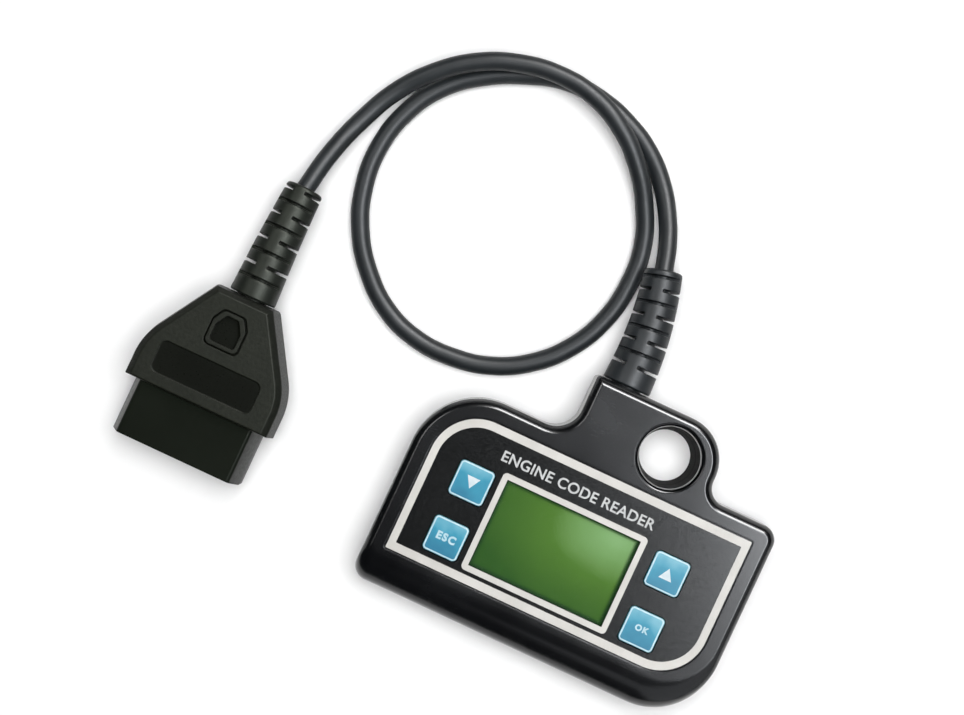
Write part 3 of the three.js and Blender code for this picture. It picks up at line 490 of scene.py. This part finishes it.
def rounded_rectangle(low, high, radii, steps=8):
    """Corners with their own radii: lower left, lower right, upper right, upper left."""
    (x0, y0), (x1, y1) = low[:2], high[:2]
    a, b, c, d = radii
    return [
        *arc((x0 + a, y0 + a), a, 180, 270, steps),
        *arc((x1 - b, y0 + b), b, 270, 360, steps),
        *arc((x1 - c, y1 - c), c, 0, 90, steps),
        *arc((x0 + d, y1 - d), d, 90, 180, steps),
    ]


def loft(name, rings):
    """A closed skin through rings with equal numbers of points, anticlockwise seen from the last."""
    count = len(rings[0])
    points = [p for ring in rings for p in ring]
    faces = [tuple(reversed(range(count)))]
    for level in range(len(rings) - 1):
        base = level * count
        for i in range(count):
            j = (i + 1) % count
            faces.append((base + i, base + j, base + count + j, base + count + i))
    last = (len(rings) - 1) * count
    faces.append(tuple(range(last, last + count)))
    return mesh_piece(name, points, faces)


def lifted(outline, z):
    """An outline of (x, y) points at that height."""
    return [(x, y, z) for x, y in outline]


def prism(name, outline, low, high):
    return loft(name, [lifted(outline, low), lifted(outline, high)])


def turned_z(name, centre, profile, steps=96):
    """A solid of round sections on an upright axis: each is (radius, height)."""
    return loft(name, [lifted(arc(centre, r, 0, 360, steps)[:-1], z) for r, z in profile])


def turned_y(name, centre, profile, steps=64):
    """A solid of round sections on an axis along Y through (x, z): each is (radius, y)."""
    z_first = centre[1], centre[0]
    rings = [[(x, y, z) for z, x in arc(z_first, r, 0, 360, steps)[:-1]] for r, y in profile]
    return loft(name, rings)


def bar(name, outline, start, end):
    """An outline of (x, z) points run along Y."""
    return loft(name, [[(x, y, z) for x, z in outline] for y in (end, start)])


def block(name, low, high, start, end):
    """A square-edged bar between two corners, each (x, z)."""
    return bar(name, [low, (high[0], low[1]), high, (low[0], high[1])], start, end)


def applied(piece):
    """The piece with its modifiers made part of its mesh."""
    graph = bpy.context.evaluated_depsgraph_get()
    mesh = bpy.data.meshes.new_from_object(piece.evaluated_get(graph))
    piece.modifiers.clear()
    piece.data = mesh
    return piece


def combined(piece, operation, tools):
    for tool in tools:
        modifier = piece.modifiers.new(operation, "BOOLEAN")
        modifier.operation = operation
        modifier.solver = "EXACT"
        modifier.object = tool
    applied(piece)
    for tool in tools:
        bpy.data.objects.remove(tool)
    return piece


def carved(piece, *tools):
    return combined(piece, "DIFFERENCE", tools)


def joined(piece, *tools):
    return combined(piece, "UNION", tools)


def softened(piece, width, segments=2, angle=32):
    """Rounds the piece's sharp edges by that width in millimetres."""
    bevel = piece.modifiers.new("soft_edges", "BEVEL")
    bevel.width = width * MM
    bevel.segments = segments
    bevel.limit_method = "ANGLE"
    bevel.angle_limit = math.radians(angle)
    bevel.use_clamp_overlap = False
    bevel.miter_outer = "MITER_ARC"
    return applied(piece)


def mended(piece):
    """Closes the hairline slits that a boolean can leave between faces that lie in one line, and drops
    edges and points that belong to no face."""
    mesh = bmesh.new()
    mesh.from_mesh(piece.data)
    bmesh.ops.holes_fill(mesh, edges=[edge for edge in mesh.edges if edge.is_boundary], sides=0)
    bmesh.ops.dissolve_degenerate(mesh, dist=1e-6, edges=mesh.edges)
    bmesh.ops.delete(mesh, geom=[edge for edge in mesh.edges if edge.is_wire], context="EDGES")
    bmesh.ops.delete(mesh, geom=[point for point in mesh.verts if not point.link_faces], context="VERTS")
    mesh.to_mesh(piece.data)
    mesh.free()


def welded(piece):
    """Joins points that lie in one place, so that the piece's skin is closed."""
    mesh = bmesh.new()
    mesh.from_mesh(piece.data)
    bmesh.ops.remove_doubles(mesh, verts=mesh.verts, dist=1e-7)
    mesh.to_mesh(piece.data)
    mesh.free()
    return piece


def smoothed(piece, angle=30):
    """Shades the piece smooth, but for edges sharper than that angle."""
    mended(piece)
    piece.data.shade_smooth()
    piece.data.set_sharp_from_angle(angle=math.radians(angle))
    weighted = piece.modifiers.new("flat_faces_stay_flat", "WEIGHTED_NORMAL")
    weighted.keep_sharp = True
    return applied(piece)


def placed(piece, body, slot, *replaced, material=None):
    """Finishes a piece: its material, which is its slot's unless one is given, the body that it rides on and
    the nodes it replaces.
    """
    if not piece.data.materials:
        piece.data.materials.append(material or MATERIALS[slot])
    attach(piece, body)
    if replaced:
        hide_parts(*replaced)
    return piece


# ---- The reader's case ----


def case_outline(side, bottom):
    """The case's outline, drawn in by `side`, and on its lower edge by `bottom`."""
    left, right = CASE_LOW.x + side, CASE_HIGH.x - side
    low, top = CASE_LOW.y + bottom, CASE_HIGH.y - side
    shoulder = CASE_SHOULDER - side
    neck, ring = NECK_LEFT + side, RING_RIGHT - side
    convex = {name: max(radius - side, 0.3) for name, radius in CORNER.items()}
    lower_right = CORNER["bottom_right"] - 0.3 * (side + bottom)
    neck_inner, ring_inner = CORNER["neck_inner"] + side, CORNER["ring_inner"] + side
    a, b, c = convex["bottom_left"], lower_right, convex["top_right"]
    d, e, f = convex["ring"], convex["neck_top"], convex["top_left"]
    return [
        *arc((left + a, low + a), a, 180, 270, 12),
        *arc((right - b, low + b), b, 270, 360, 28),
        *arc((right - c, shoulder - c), c, 0, 90, 12),
        *arc((ring + ring_inner, shoulder + ring_inner), ring_inner, 270, 180, 16),
        *arc((ring - d, top - d), d, 0, 90, 24),
        *arc((neck + e, top - e), e, 90, 180, 8),
        *arc((neck - neck_inner, shoulder + neck_inner), neck_inner, 0, -90, 18),
        *arc((left + f, shoulder - f), f, 90, 180, 30),
    ]


def rounded_inset(z, start, width, power):
    """How far an edge that starts to turn in at `start` has turned in at a height: a quarter of an
    ellipse where the power is 2, and nearer to a straight chamfer where it is lower."""
    rise = min(max((z - start) / (CASE_HIGH.z - start), 0.0), 1.0)
    return width * (1 - (1 - rise**power) ** (1 / power))


def front_rings():
    """The front's sections: its wall, the rounded edge of its face, and the wide slope below."""
    top = CASE_HIGH.z
    heights = {CASE_LOW.z, SLOPE_START}
    for start, steps in ((EDGE_START, 12), (SLOPE_START, 14)):
        for i in range(1, steps + 1):
            heights.add(round(start + (top - start) * math.sin(math.radians(90 * i / steps)), 4))
    rings = []
    for z in sorted(heights):
        draft = EDGE_DRAFT * (z - CASE_LOW.z) / (top - CASE_LOW.z)
        side = draft + rounded_inset(z, EDGE_START, EDGE_WIDTH, EDGE_POWER)
        bottom = draft + rounded_inset(z, SLOPE_START, SLOPE_WIDTH, SLOPE_POWER)
        rings.append(lifted(case_outline(side, bottom), z))
    return rings


def case_hollow(name, low, high, inset=0.0):
    """The room inside the case, drawn in by `inset`: it goes round the post that the ring's hole is in."""
    body_low = (CASE_LOW.x + WALL + inset, HOLLOW_END + inset)
    body_high = (CASE_HIGH.x - WALL - inset, CASE_SHOULDER - WALL - inset)
    radii = [r - inset for r in (3, 15, 3, CORNER["top_left"] - WALL)]
    neck_low = (NECK_LEFT + WALL + inset, body_high[1] - 2)
    neck_high = (NECK_ROOM_RIGHT - inset, CASE_HIGH.y - WALL - inset)
    body = prism(name, rounded_rectangle(body_low, body_high, radii, 16), low, high)
    joined(body, prism("neck", rounded_rectangle(neck_low, neck_high, [0.5] * 4, 4), low, high))
    sleeve = RING_SLEEVE + inset
    return carved(body, turned_z("sleeve", RING_CENTRE, [(sleeve, low - 1), (sleeve, high + 1)]))


def screw_centres():
    boxes = [box_mm(f"case_screw_{i + 1}") for i in range(4)]
    return [((low.x + high.x) / 2, (low.y + high.y) / 2) for low, high in boxes]


def ring_cutter():
    """The ring's hole widens from the back to a rounded mouth in the face."""
    top = CASE_HIGH.z
    profile = [(RING_BACK + 0.8, -1), (RING_BACK + 0.8, 0), (RING_BACK + 0.25, 0.25), (RING_BACK, 0.8)]
    profile.append((RING_NECK, EDGE_START))
    for i in range(1, 13):
        turn = math.radians(90 * i / 12)
        x = RING_MOUTH - (RING_MOUTH - RING_NECK) * math.cos(turn)
        profile.append((x, EDGE_START + (top - EDGE_START) * math.sin(turn)))
    profile.append((RING_MOUTH, top + 1))
    return turned_z("ring", RING_CENTRE, profile)


def bore_cutter(centre, end):
    """The round hole that the cable comes in by, through the wall that ends at that Y."""
    return turned_y("bore", centre, [(BORE_RADIUS, end - 4), (BORE_RADIUS, end + 1)])


def at_screws(name, radius, low, high, steps):
    """A round rod on each case screw's axis."""
    return [turned_z(name, at, [(radius, low), (radius, high)], steps) for at in screw_centres()]


def grown(node, margin, low, high, radii, steps=8):
    """A cutter round a CAD node's plan, grown by a margin."""
    start, end = box_mm(node)
    area = (start.x - margin, start.y - margin), (end.x + margin, end.y + margin)
    return prism(node + "_cutter", rounded_rectangle(*area, [r + margin for r in radii], steps), low, high)


def face_tools(low, high):
    """Cutters for the screen's opening and the four key wells."""
    tools = [grown("display_window", 0.3, low, high, [0.1] * 4, 2)]
    tools += [grown(f"key_{key}", 0.25, low, high, [KEY_CORNER] * 4, 6) for key in KEYS]
    return tools


def matt_ring_wall(shell):
    """The hole through the ring has a matt wall, below its polished mouth."""
    shell.data.materials.append(MATERIALS["case_plastic"])
    shell.data.materials.append(RING_WALL)
    for face in shell.data.polygons:
        place = face.center / MM
        from_axis = math.hypot(place.x - RING_CENTRE[0], place.y - RING_CENTRE[1])
        if from_axis < RING_NECK + 0.02 and place.z < EDGE_START:
            face.material_index = 1


def finished_shell(shell, node):
    """The last steps of both shells: soft edges, the cable's bore and the ring's matt wall."""
    softened(shell, SOFT_EDGE)
    carved(shell, bore_cutter(READER_CABLE, CASE_HIGH.y))
    matt_ring_wall(shell)
    return placed(smoothed(shell), "root", "case_plastic", node)


def front_case():
    top, ceiling = CASE_HIGH.z, CASE_HIGH.z - WALL
    label_low, _ = box_mm("face_overlay")
    shell = carved(loft("case_front", front_rings()), case_hollow("hollow", CASE_LOW.z - 1, ceiling))
    joined(shell, *at_screws("boss", BOSS_RADIUS, CASE_LOW.z, ceiling + 0.3, 40))
    pilots = at_screws("pilot", SCREW_HOLE, CASE_LOW.z - 1, PILOT_TOP, 24)
    recess = grown("face_overlay", 0.25, label_low.z - 0.1, top + 1, LABEL_RADII, 24)
    carved(shell, *pilots, recess, ring_cutter(), *face_tools(ceiling - 1, top + 1))
    return finished_shell(shell, "front_shell")


def back_lip():
    """The lip that stands up from the back shell's rim and lines up the front, with gaps at the bosses
    and at the strain relief's flange."""
    foot = case_hollow("lip", SEAM_LOW - 2, SEAM_LOW, -0.5)
    rim = case_hollow("rim", SEAM_LOW - 0.5, LIP_TOP, 0.3)
    start, end = FLANGE_ROOM
    room = [(NECK_LEFT, start), (NECK_ROOM_RIGHT, start), (NECK_ROOM_RIGHT, end), (NECK_LEFT, end)]
    return carved(
        joined(foot, rim),
        case_hollow("inside", SEAM_LOW - 3, LIP_TOP + 1, 1.2),
        *at_screws("room", BOSS_ROOM, 0, CASE_HIGH.z, 40),
        prism("flange_room", room, 0, CASE_HIGH.z),
    )


def back_case():
    rings = [lifted(case_outline(inset, inset), z) for z, inset in BACK_EDGE]
    rings.append(lifted(case_outline(0, 0), SEAM_LOW))
    shell = carved(loft("case_back", rings), case_hollow("hollow", WALL, SEAM_LOW + 1))
    joined(shell, back_lip(), *at_screws("boss", BOSS_RADIUS, WALL - 0.3, SEAM_LOW, 40))
    shanks = at_screws("shank", SCREW_HOLE, 1, SEAM_LOW + 1, 24)
    sinks = at_screws("sink", SINK_RADIUS, -1, SINK_TOP, 48)
    carved(shell, *shanks, *sinks, ring_cutter())
    return finished_shell(shell, "back_shell")


def case_screws():
    """Pan heads with cross slots, in the back's counterbores."""
    for i, centre in enumerate(screw_centres()):
        node = f"case_screw_{i + 1}"
        low, high = box_mm(node)
        head = [(1.9, low.z), (2.35, low.z + 0.15), (2.6, low.z + 0.55), (2.6, low.z + 1.8)]
        head += [(1.2, low.z + 1.8), (1.2, high.z - 0.8), (0.5, high.z)]
        screw = turned_z(f"screw_{i + 1}", centre, head, 48)
        for width, depth in ((3.0, 0.62), (0.62, 3.0)):
            area = around(centre, (width / 2, depth / 2))
            carved(screw, prism("slot", rounded_rectangle(*area, [0.1] * 4, 2), low.z - 1, low.z + 1.1))
        softened(screw, 0.06, 1)
        placed(smoothed(screw), "root", "bright_metal", node)


# ---- The face ----


def face_film():
    low, high = box_mm("face_overlay")
    film = grown("face_overlay", 0, low.z, high.z, LABEL_RADII, 24)
    film.name = "face_film"
    carved(film, *face_tools(low.z - 1, high.z + 1))
    softened(film, 0.05, 1)
    return placed(smoothed(film), "root", "overlay_film", "face_overlay")


def printed_frame(name, outer, inner, z, material):
    """A flat printed outline between two rounded rectangles: each is (low, high, radii)."""
    sheet = prism(name, rounded_rectangle(*outer, 24), z - PRINT_RISE, z + PRINT_RISE)
    carved(sheet, prism("inner", rounded_rectangle(*inner, 24), z - 1, z + 1))
    return placed(sheet, "root", "overlay_film", material=material)


def face_print():
    """The pale border round the label, the one round the screen, and the title."""
    low, high = box_mm("face_overlay")
    margin = 0.2
    side, level = LABEL_BORDER
    outer = (low.x + margin, low.y + margin), (high.x - margin, high.y - margin)
    outer_radii = [max(r - margin, 0.3) for r in LABEL_RADII]
    inner = (low.x + side, low.y + level), (high.x - side, high.y - level)
    inner_radii = [max(r - side, 0.2) for r in LABEL_RADII]
    printed_frame("label_border", (*outer, outer_radii), (*inner, inner_radii), high.z, BORDER_PRINT)
    pane_low, pane_high = box_mm("display_window")

    def round_pane(margin, radius):
        area = (pane_low.x - margin, pane_low.y - margin), (pane_high.x + margin, pane_high.y + margin)
        return *area, [radius] * 4

    outer, inner = round_pane(SCREEN_BORDER + 0.3, 1.3), round_pane(0.4, 0.1)
    printed_frame("screen_border", outer, inner, high.z, BORDER_PRINT)
    title = lettering("title", TITLE, TITLE_CENTRE, TITLE_WIDTH, high.z, 0.018, 1.05)
    placed(title, "root", "overlay_film", material=TITLE_PRINT)


def lettering(name, words, centre, width, z, weight, spacing):
    """Plain lettering of a given width, as a thin raised print. The weight thickens its strokes by that
    share of the letters' height."""
    text = bpy.data.curves.new(name, "FONT")
    text.body = words
    text.align_x, text.align_y = "CENTER", "CENTER"
    text.size = 1.0
    text.space_character = spacing
    text.offset = weight
    piece = bpy.data.objects.new(name, text)
    bpy.context.scene.collection.objects.link(piece)
    bpy.context.view_layer.update()
    scale = width * MM / piece.dimensions.x
    text.size = scale
    text.offset = weight * scale
    text.extrude = PRINT_RISE * MM
    piece.location = (centre[0] * MM, centre[1] * MM, z * MM)
    bpy.context.view_layer.update()
    graph = bpy.context.evaluated_depsgraph_get()
    mesh = bpy.data.meshes.new_from_object(piece.evaluated_get(graph))
    mesh.transform(piece.matrix_world)
    mesh.materials.clear()
    bpy.data.objects.remove(piece)
    printed = bpy.data.objects.new(name, mesh)
    bpy.context.scene.collection.objects.link(printed)
    return welded(printed)


def key_pad(key):
    """A flat key with rounded edges and a pale line round its face."""
    node = f"key_{key}"
    low, high = box_mm(node)

    def ring(inset, z):
        radii = [max(KEY_CORNER - inset, 0.15)] * 4
        area = (low.x + inset, low.y + inset), (high.x - inset, high.y - inset)
        return lifted(rounded_rectangle(*area, radii, 8), z)

    rings = [ring(KEY_EDGE, low.z), ring(0, low.z + KEY_EDGE), ring(0, high.z - KEY_EDGE)]
    for turn in (30, 60, 90):
        angle = math.radians(turn)
        rings.append(ring(KEY_EDGE * (1 - math.cos(angle)), high.z - KEY_EDGE * (1 - math.sin(angle))))
    line_start = len(rings) - 1
    rings.append(ring(KEY_EDGE + KEY_LINE, high.z))
    pad = loft(f"pad_{key}", rings)
    pad.data.materials.append(MATERIALS["key_cap"])
    pad.data.materials.append(KEY_PRINT)
    count = len(rings[0])
    for face in pad.data.polygons[1 + (line_start - 1) * count : 1 + (line_start + 1) * count]:
        face.material_index = 1
    placed(smoothed(pad), f"{key}_key", "key_cap", node)
    key_mark(key, ((low.x + high.x) / 2, (low.y + high.y) / 2), high.z)


def key_mark(key, centre, z):
    """The mark on a key's face: an arrowhead or a word."""
    name = f"mark_{key}"
    if key in ARROWS:
        sign, ink = ARROWS[key], SYMBOL_PRINT
        half, rise = ARROW_HALF, ARROW_HEIGHT
        corners = [(-half, -sign * rise / 2), (half, -sign * rise / 2), (0, sign * rise / 2)]
        outline = [(centre[0] + x, centre[1] + y) for x, y in corners[::sign]]
        mark = prism(name, outline, z - 0.05, z + PRINT_RISE)
    else:
        words, width = LEGENDS[key]
        mark, ink = lettering(name, words, centre, width, z, 0.05, 1.25), LEGEND_PRINT
    placed(mark, f"{key}_key", "key_cap", material=ink)


# ---- The cable and its strain reliefs ----


def cable_curve():
    """The cable: one smooth curve through the route, its ends a little inside the strain reliefs."""
    curve = bpy.data.curves.new("lead_cable", "CURVE")
    curve.dimensions = "3D"
    curve.bevel_depth = CABLE_RADIUS * MM
    curve.bevel_resolution = 10
    curve.resolution_u = 12
    curve.use_fill_caps = True
    spline = curve.splines.new("BEZIER")
    inside = 1.5
    points = [Vector(p) for p in ROUTE]
    points[0] = points[0] + (points[0] - points[1]).normalized() * inside
    points[-1] = points[-1] + (points[-1] - points[-2]).normalized() * inside
    spline.bezier_points.add(len(points) - 1)
    for point, place in zip(spline.bezier_points, points):
        point.co = place * MM
        point.handle_left_type = point.handle_right_type = "AUTO"
    piece = bpy.data.objects.new("lead_cable", curve)
    bpy.context.scene.collection.objects.link(piece)
    curve.materials.append(MATERIALS["cable_rubber"])
    return piece


def smooth_axis(axis_points, steps=20):
    """Points along a smooth curve (a Catmull-Rom spline) through the axis points."""
    points = [Vector(p) for p in axis_points]
    samples = []
    for i in range(len(points) - 1):
        before, here, there = points[max(i - 1, 0)], points[i], points[i + 1]
        after = points[min(i + 2, len(points) - 1)]
        for k in range(steps):
            t = k / steps
            line = (2 * here) + (there - before) * t
            square = (2 * before - 5 * here + 4 * there - after) * t**2
            cube = (3 * here - before - 3 * there + after) * t**3
            samples.append(0.5 * (line + square + cube))
    samples.append(points[-1])
    return samples


def bent(piece, axis_points):
    """Bends a piece built along +Y from the origin so that it follows a smooth axis."""
    samples = smooth_axis(axis_points)
    distances = [0.0]
    for first, second in zip(samples, samples[1:]):
        distances.append(distances[-1] + (second - first).length)
    last = len(samples) - 1
    for vertex in piece.data.vertices:
        x, along, z = vertex.co / MM
        index = next((i for i in range(1, last) if distances[i] > along), last)
        span = distances[index] - distances[index - 1]
        share = (along - distances[index - 1]) / span
        ahead = (samples[min(index + 2, last)] - samples[max(index - 3, 0)]).normalized()
        side = ahead.cross(Vector((0, 0, 1))).normalized()
        over = side.cross(ahead)
        base = samples[index - 1].lerp(samples[index], share)
        vertex.co = (base + side * x + over * z) * MM
    return piece


def slot_tools(base_at, slots, roll):
    """Cutters for the slots: each slot is a pair of cuts, one from each side, and a web between them is
    left. A slot is (distance from the sleeve's base, "side" or "face")."""
    tools = []
    for distance, kind in slots:
        y = base_at + distance
        turn = math.radians(roll + (90 if kind == "face" else 0))
        c, s = math.cos(turn), math.sin(turn)
        for sign in (-1, 1):
            near, far = sign * SLOT_WEB, sign * SLOT_REACH
            across = [(near, -SLOT_REACH), (far, -SLOT_REACH), (far, SLOT_REACH), (near, SLOT_REACH)]
            ring = [(x * c - z * s, x * s + z * c) for x, z in across[::sign]]
            tools.append(bar("slot", ring, y - SLOT_WIDTH / 2, y + SLOT_WIDTH / 2))
    return tools


def strain_relief(name, node, axis_points, base_at, slots, roll, radii, material):
    """A slotted, tapered sleeve on the cable, with a flange inside the housing. base_at is where the
    sleeve starts along its axis, radii are its base's and its tip's, and roll turns its slots."""
    base, tip = radii
    end = base_at + SLEEVE_LENGTH
    profile = [(FLANGE_RADIUS, 0), (FLANGE_RADIUS, FLANGE_THICK)]
    profile += [(SLEEVE_NECK, FLANGE_THICK), (SLEEVE_NECK, base_at)]
    profile += [(base - 0.35, base_at), (base, base_at + 0.35)]
    steps = 34
    for i in range(1, steps):
        t = i / steps
        profile.append((base + (tip - base) * t, base_at + 0.35 + (SLEEVE_LENGTH - 1.25) * t))
    for turn in (0, 30, 60, 90):
        angle = math.radians(turn)
        inward, upward = SLEEVE_TIP * (1 - math.cos(angle)), SLEEVE_TIP * math.sin(angle)
        profile.append((tip - inward, end - SLEEVE_TIP + upward))
    mouth, core = CABLE_RADIUS + 0.25, CABLE_RADIUS + 0.35
    profile += [(mouth, end), (mouth, end - 1.6)]
    sleeve = turned_y(name, (0, 0), profile, 72)
    carved(sleeve, *slot_tools(base_at, slots, roll))
    joined(sleeve, turned_y("core", (0, 0), [(core, base_at + 1), (core, end - 1)], 48))
    softened(sleeve, 0.16, 2, 40)
    bent(sleeve, axis_points)
    return placed(smoothed(sleeve, 35), "root", "cable_rubber", node, material=material)


def strain_reliefs():
    x, z = READER_CABLE
    start = 35.4
    reader = strain_relief(
        "reader_sleeve",
        "reader_strain_relief",
        [
            (x, start, z),
            (x, 38, z),
            (x, 42, z),
            (x - 0.1, 50, z),
            (x - 0.9, 59, 9.8),
            (x - 2.2, 67, 9.5),
            (x - 4.05, 75, 9),
        ],
        base_at=CASE_HIGH.y + 0.3 - start,
        slots=[(5.9 + 3.78 * i, kind) for i, kind in enumerate(["side", "face"] * 4)],
        roll=13,
        radii=(7.2, 5.6),
        material=MATERIALS["cable_rubber"],
    )
    x, z = PLUG_CABLE
    plug = strain_relief(
        "plug_sleeve",
        "plug_strain_relief",
        [(x, 13, z), (x, 16, z), (x, 22, z), (x, 36, 11.6), (-110.3, 53.2, 10.5)],
        base_at=5.5,
        slots=[(5.5 + 3.9 * i, kind) for i, kind in enumerate(["face", "side"] * 4)],
        roll=9,
        radii=(6.95, 5.45),
        material=PLUG_BOOT,
    )
    return reader, plug


# ---- The plug ----


def plug_outline(side, front, end):
    """The covers' outline, drawn in at its sides, at the shroud's end and at the cable's end."""
    lean = math.radians(SIDE_LEAN)
    radius, centre = SIDE_RADIUS - side, PLUG_HALF - SIDE_RADIUS
    corner = max(1.5 - side, 0.4)
    reach = centre * math.cos(lean) + SIDE_START * math.sin(lean) + radius
    corner_y = PLUG_END - end - corner
    corner_x = (reach - corner - corner_y * math.sin(lean)) / math.cos(lean)
    half = [
        (PLUG_HALF - side, PLUG_FRONT + front),
        *arc((centre, SIDE_START), radius, 0, SIDE_LEAN, 16),
        *arc((corner_x, corner_y), corner, SIDE_LEAN, 90, 8),
    ]
    both = half + [(-x, y) for x, y in reversed(half)]
    return [(PLUG_X + x, y) for x, y in both]


def shroud_outline(inset):
    """The shroud's section as (x, z): wide below, narrow above, with rounded corners."""
    half, half_top = SHROUD_HALF - inset, SHROUD_HALF_TOP - inset
    low, high = PLUG_MIDDLE - SHROUD_RISE + inset, PLUG_MIDDLE + SHROUD_RISE - inset
    r = SHROUD_ROUND
    right = [
        *arc((half - r, low + r), r, 270, 360, 6),
        (half, SHROUD_KNEE),
        *arc((half_top - r + 0.1, high - r), r, 15, 90, 6),
    ]
    both = right + [(-x, z) for x, z in reversed(right)]
    return [(PLUG_X + x, z) for x, z in both]


def rounded_corners(corners, radii, steps=6):
    """A convex outline, anticlockwise, with each of its corners rounded by its own radius."""
    points = []
    count = len(corners)
    for i, radius in enumerate(radii):
        here = Vector(corners[i])
        before = (Vector(corners[i - 1]) - here).normalized()
        after = (Vector(corners[(i + 1) % count]) - here).normalized()
        half = before.angle(after) / 2
        middle = here + (before + after).normalized() * (radius / math.sin(half))
        first = here + before * (radius / math.tan(half)) - middle
        sweep = math.pi - 2 * half
        for k in range(steps + 1):
            turn = sweep * k / steps
            c, s = math.cos(turn), math.sin(turn)
            points.append((middle.x + first.x * c - first.y * s, middle.y + first.x * s + first.y * c))
    return points


def latch_outline(inset):
    """The latch window's outline: a rounded rectangle with its two far corners cut off."""
    (x, y), (half, reach), (across, along) = LATCH_CENTRE, LATCH_HALF, LATCH_CUT
    half, low, high = half - inset, y - reach + inset, y + reach - inset
    shoulder, top = high - along, half - across
    corners = [(-half, low), (half, low), (half, shoulder), (top, high), (-top, high), (-half, shoulder)]
    radii = [max(LATCH_ROUND - inset * 0.5, 0.5)] * len(corners)
    return [(x + across, y) for across, y in rounded_corners(corners, radii)]


def cover_rings(direction):
    """The cover's sections from the seam outwards: a drafted wall, a shoulder and a soft top edge. Each
    is a rise from the seam, and how far the outline is drawn in there."""
    sections = [(0.15, 0, 0, 0), (9.7, 1.05, 0.1, 0.4), (10.15, 1.15, 0.12, 0.48)]
    sections += [(10.5, 1.35, 0.16, 0.65), (11.6, 2.5, 0.3, 1.6)]
    sections += [(11.85, 2.8, 0.42, 1.85), (12, 3.15, 0.65, 2.15)]
    rings = [lifted(plug_outline(*inset), PLUG_MIDDLE + direction * rise) for rise, *inset in sections]
    return rings[::direction]


def plug_cover(name, direction, node):
    """The upper cover (direction 1), which has the label's panel and the latch window's pocket, or the
    lower one (direction -1)."""
    cover = loft(name, cover_rings(direction))
    hollow = prism("hollow", plug_outline(2.5, 2.1, 2.6), PLUG_WALL, PLUG_HEIGHT - PLUG_WALL)
    opening = bar("opening", shroud_outline(-0.3), PLUG_FRONT - 1, PLUG_FRONT + 2.4)
    carved(cover, hollow, opening)
    if direction > 0:
        above = PLUG_HEIGHT + 1
        area = rounded_rectangle(*around(PANEL_CENTRE, PANEL_HALF), [PANEL_ROUND] * 4, 10)
        panel = prism("panel", area, PLUG_HEIGHT - PANEL_DEPTH, above)
        pocket = prism("pocket", latch_outline(-LATCH_GROOVE), PLUG_HEIGHT - LATCH_DEPTH, above)
        carved(cover, panel, pocket)
    softened(cover, 0.22, 3)
    carved(cover, bore_cutter(PLUG_CABLE, PLUG_END))
    cover.data.materials.append(MATERIALS["plug_plastic"])
    cover.data.materials.append(RECESS_SATIN)
    floors = [PLUG_HEIGHT - depth for depth in (PANEL_DEPTH, LATCH_DEPTH)]
    for face in cover.data.polygons:
        height = face.center.z / MM
        if face.normal.z > 0.9 and any(abs(height - floor) < 0.05 for floor in floors):
            face.material_index = 1
    return placed(smoothed(cover), "root", "plug_plastic", node)


def latch_rim():
    """The raised rim of the latch window, which stands in a pocket of the upper cover."""
    base, crest = PLUG_HEIGHT - LATCH_DEPTH - 0.05, PLUG_HEIGHT + LATCH_RISE
    rim = prism("latch_rim", latch_outline(0), base, crest)
    carved(rim, prism("window", latch_outline(LATCH_RIM), base - 1, crest + 1))
    softened(rim, 0.2, 3)
    return placed(smoothed(rim), "root", "plug_plastic")


def contact_slots(back):
    """Cutters for the slots that the contacts stand in, and for the blank cavities between them."""
    tools = []
    for number in CONTACTS:
        low, high = box_mm(f"contact_{number}")
        low, high = (low.x - 0.3, low.z - 0.3), (high.x + 0.3, high.z + 0.3)
        tools.append(block("slot", low, high, CARRIER_FRONT - 1, back + 1))
    for column in range(CAVITY_COLUMNS):
        for row in (-1, 1):
            number = column + 1 if row < 0 else column + 1 + CAVITY_COLUMNS
            if number not in CONTACTS:
                x = PLUG_X + CAVITY_PITCH * (column - (CAVITY_COLUMNS - 1) / 2)
                low, high = around((x, PLUG_MIDDLE + CAVITY_ROW * row), CAVITY_HALF)
                tools.append(block("blank", low, high, CARRIER_FRONT - 1, CARRIER_FRONT + CAVITY_DEPTH))
    return tools


def plug_shroud():
    """The shroud with the contacts' carrier at its back, the tongue between their rows, and the flange
    that the covers hold."""
    low, high = box_mm("plug_insert")
    front, back = low.y, high.y
    shroud = bar("shroud", shroud_outline(0), front, back - 1.9)
    carved(shroud, bar("mouth", shroud_outline(SHROUD_WALL), front - 1, CARRIER_FRONT))
    tongue = block("tongue", *around((PLUG_X, PLUG_MIDDLE), TONGUE_HALF), TONGUE_FRONT, CARRIER_FRONT + 1)
    joined(shroud, tongue, bar("flange", shroud_outline(-SHROUD_FLANGE), back - 2.1, back))
    carved(shroud, *contact_slots(back))
    softened(shroud, 0.15, 2)
    return placed(smoothed(shroud), "root", "plug_plastic", "plug_insert", material=SHROUD_SATIN)


# ---- The whole object ----

set_camera()
finish_cad_nodes()
cable = placed(cable_curve(), "root", "cable_rubber", "cable")
reader_sleeve, plug_sleeve = strain_reliefs()
plug_pieces = [
    plug_cover("plug_top", 1, "plug_upper_cover"),
    plug_cover("plug_bottom", -1, "plug_lower_cover"),
    latch_rim(),
    plug_shroud(),
]
plug_pieces += [frame["nodes"][f"contact_{number}"] for number in CONTACTS]
plug_pieces += [frame["nodes"][f"plug_lead_{name}"] for name in LEADS]
front_case()
back_case()
case_screws()
face_film()
face_print()
for key in KEYS:
    key_pad(key)
window = frame["nodes"]["display_window"]
window.visible_shadow = window.visible_diffuse = False  # the light on the screen isn't dimmed by it
set_stage()
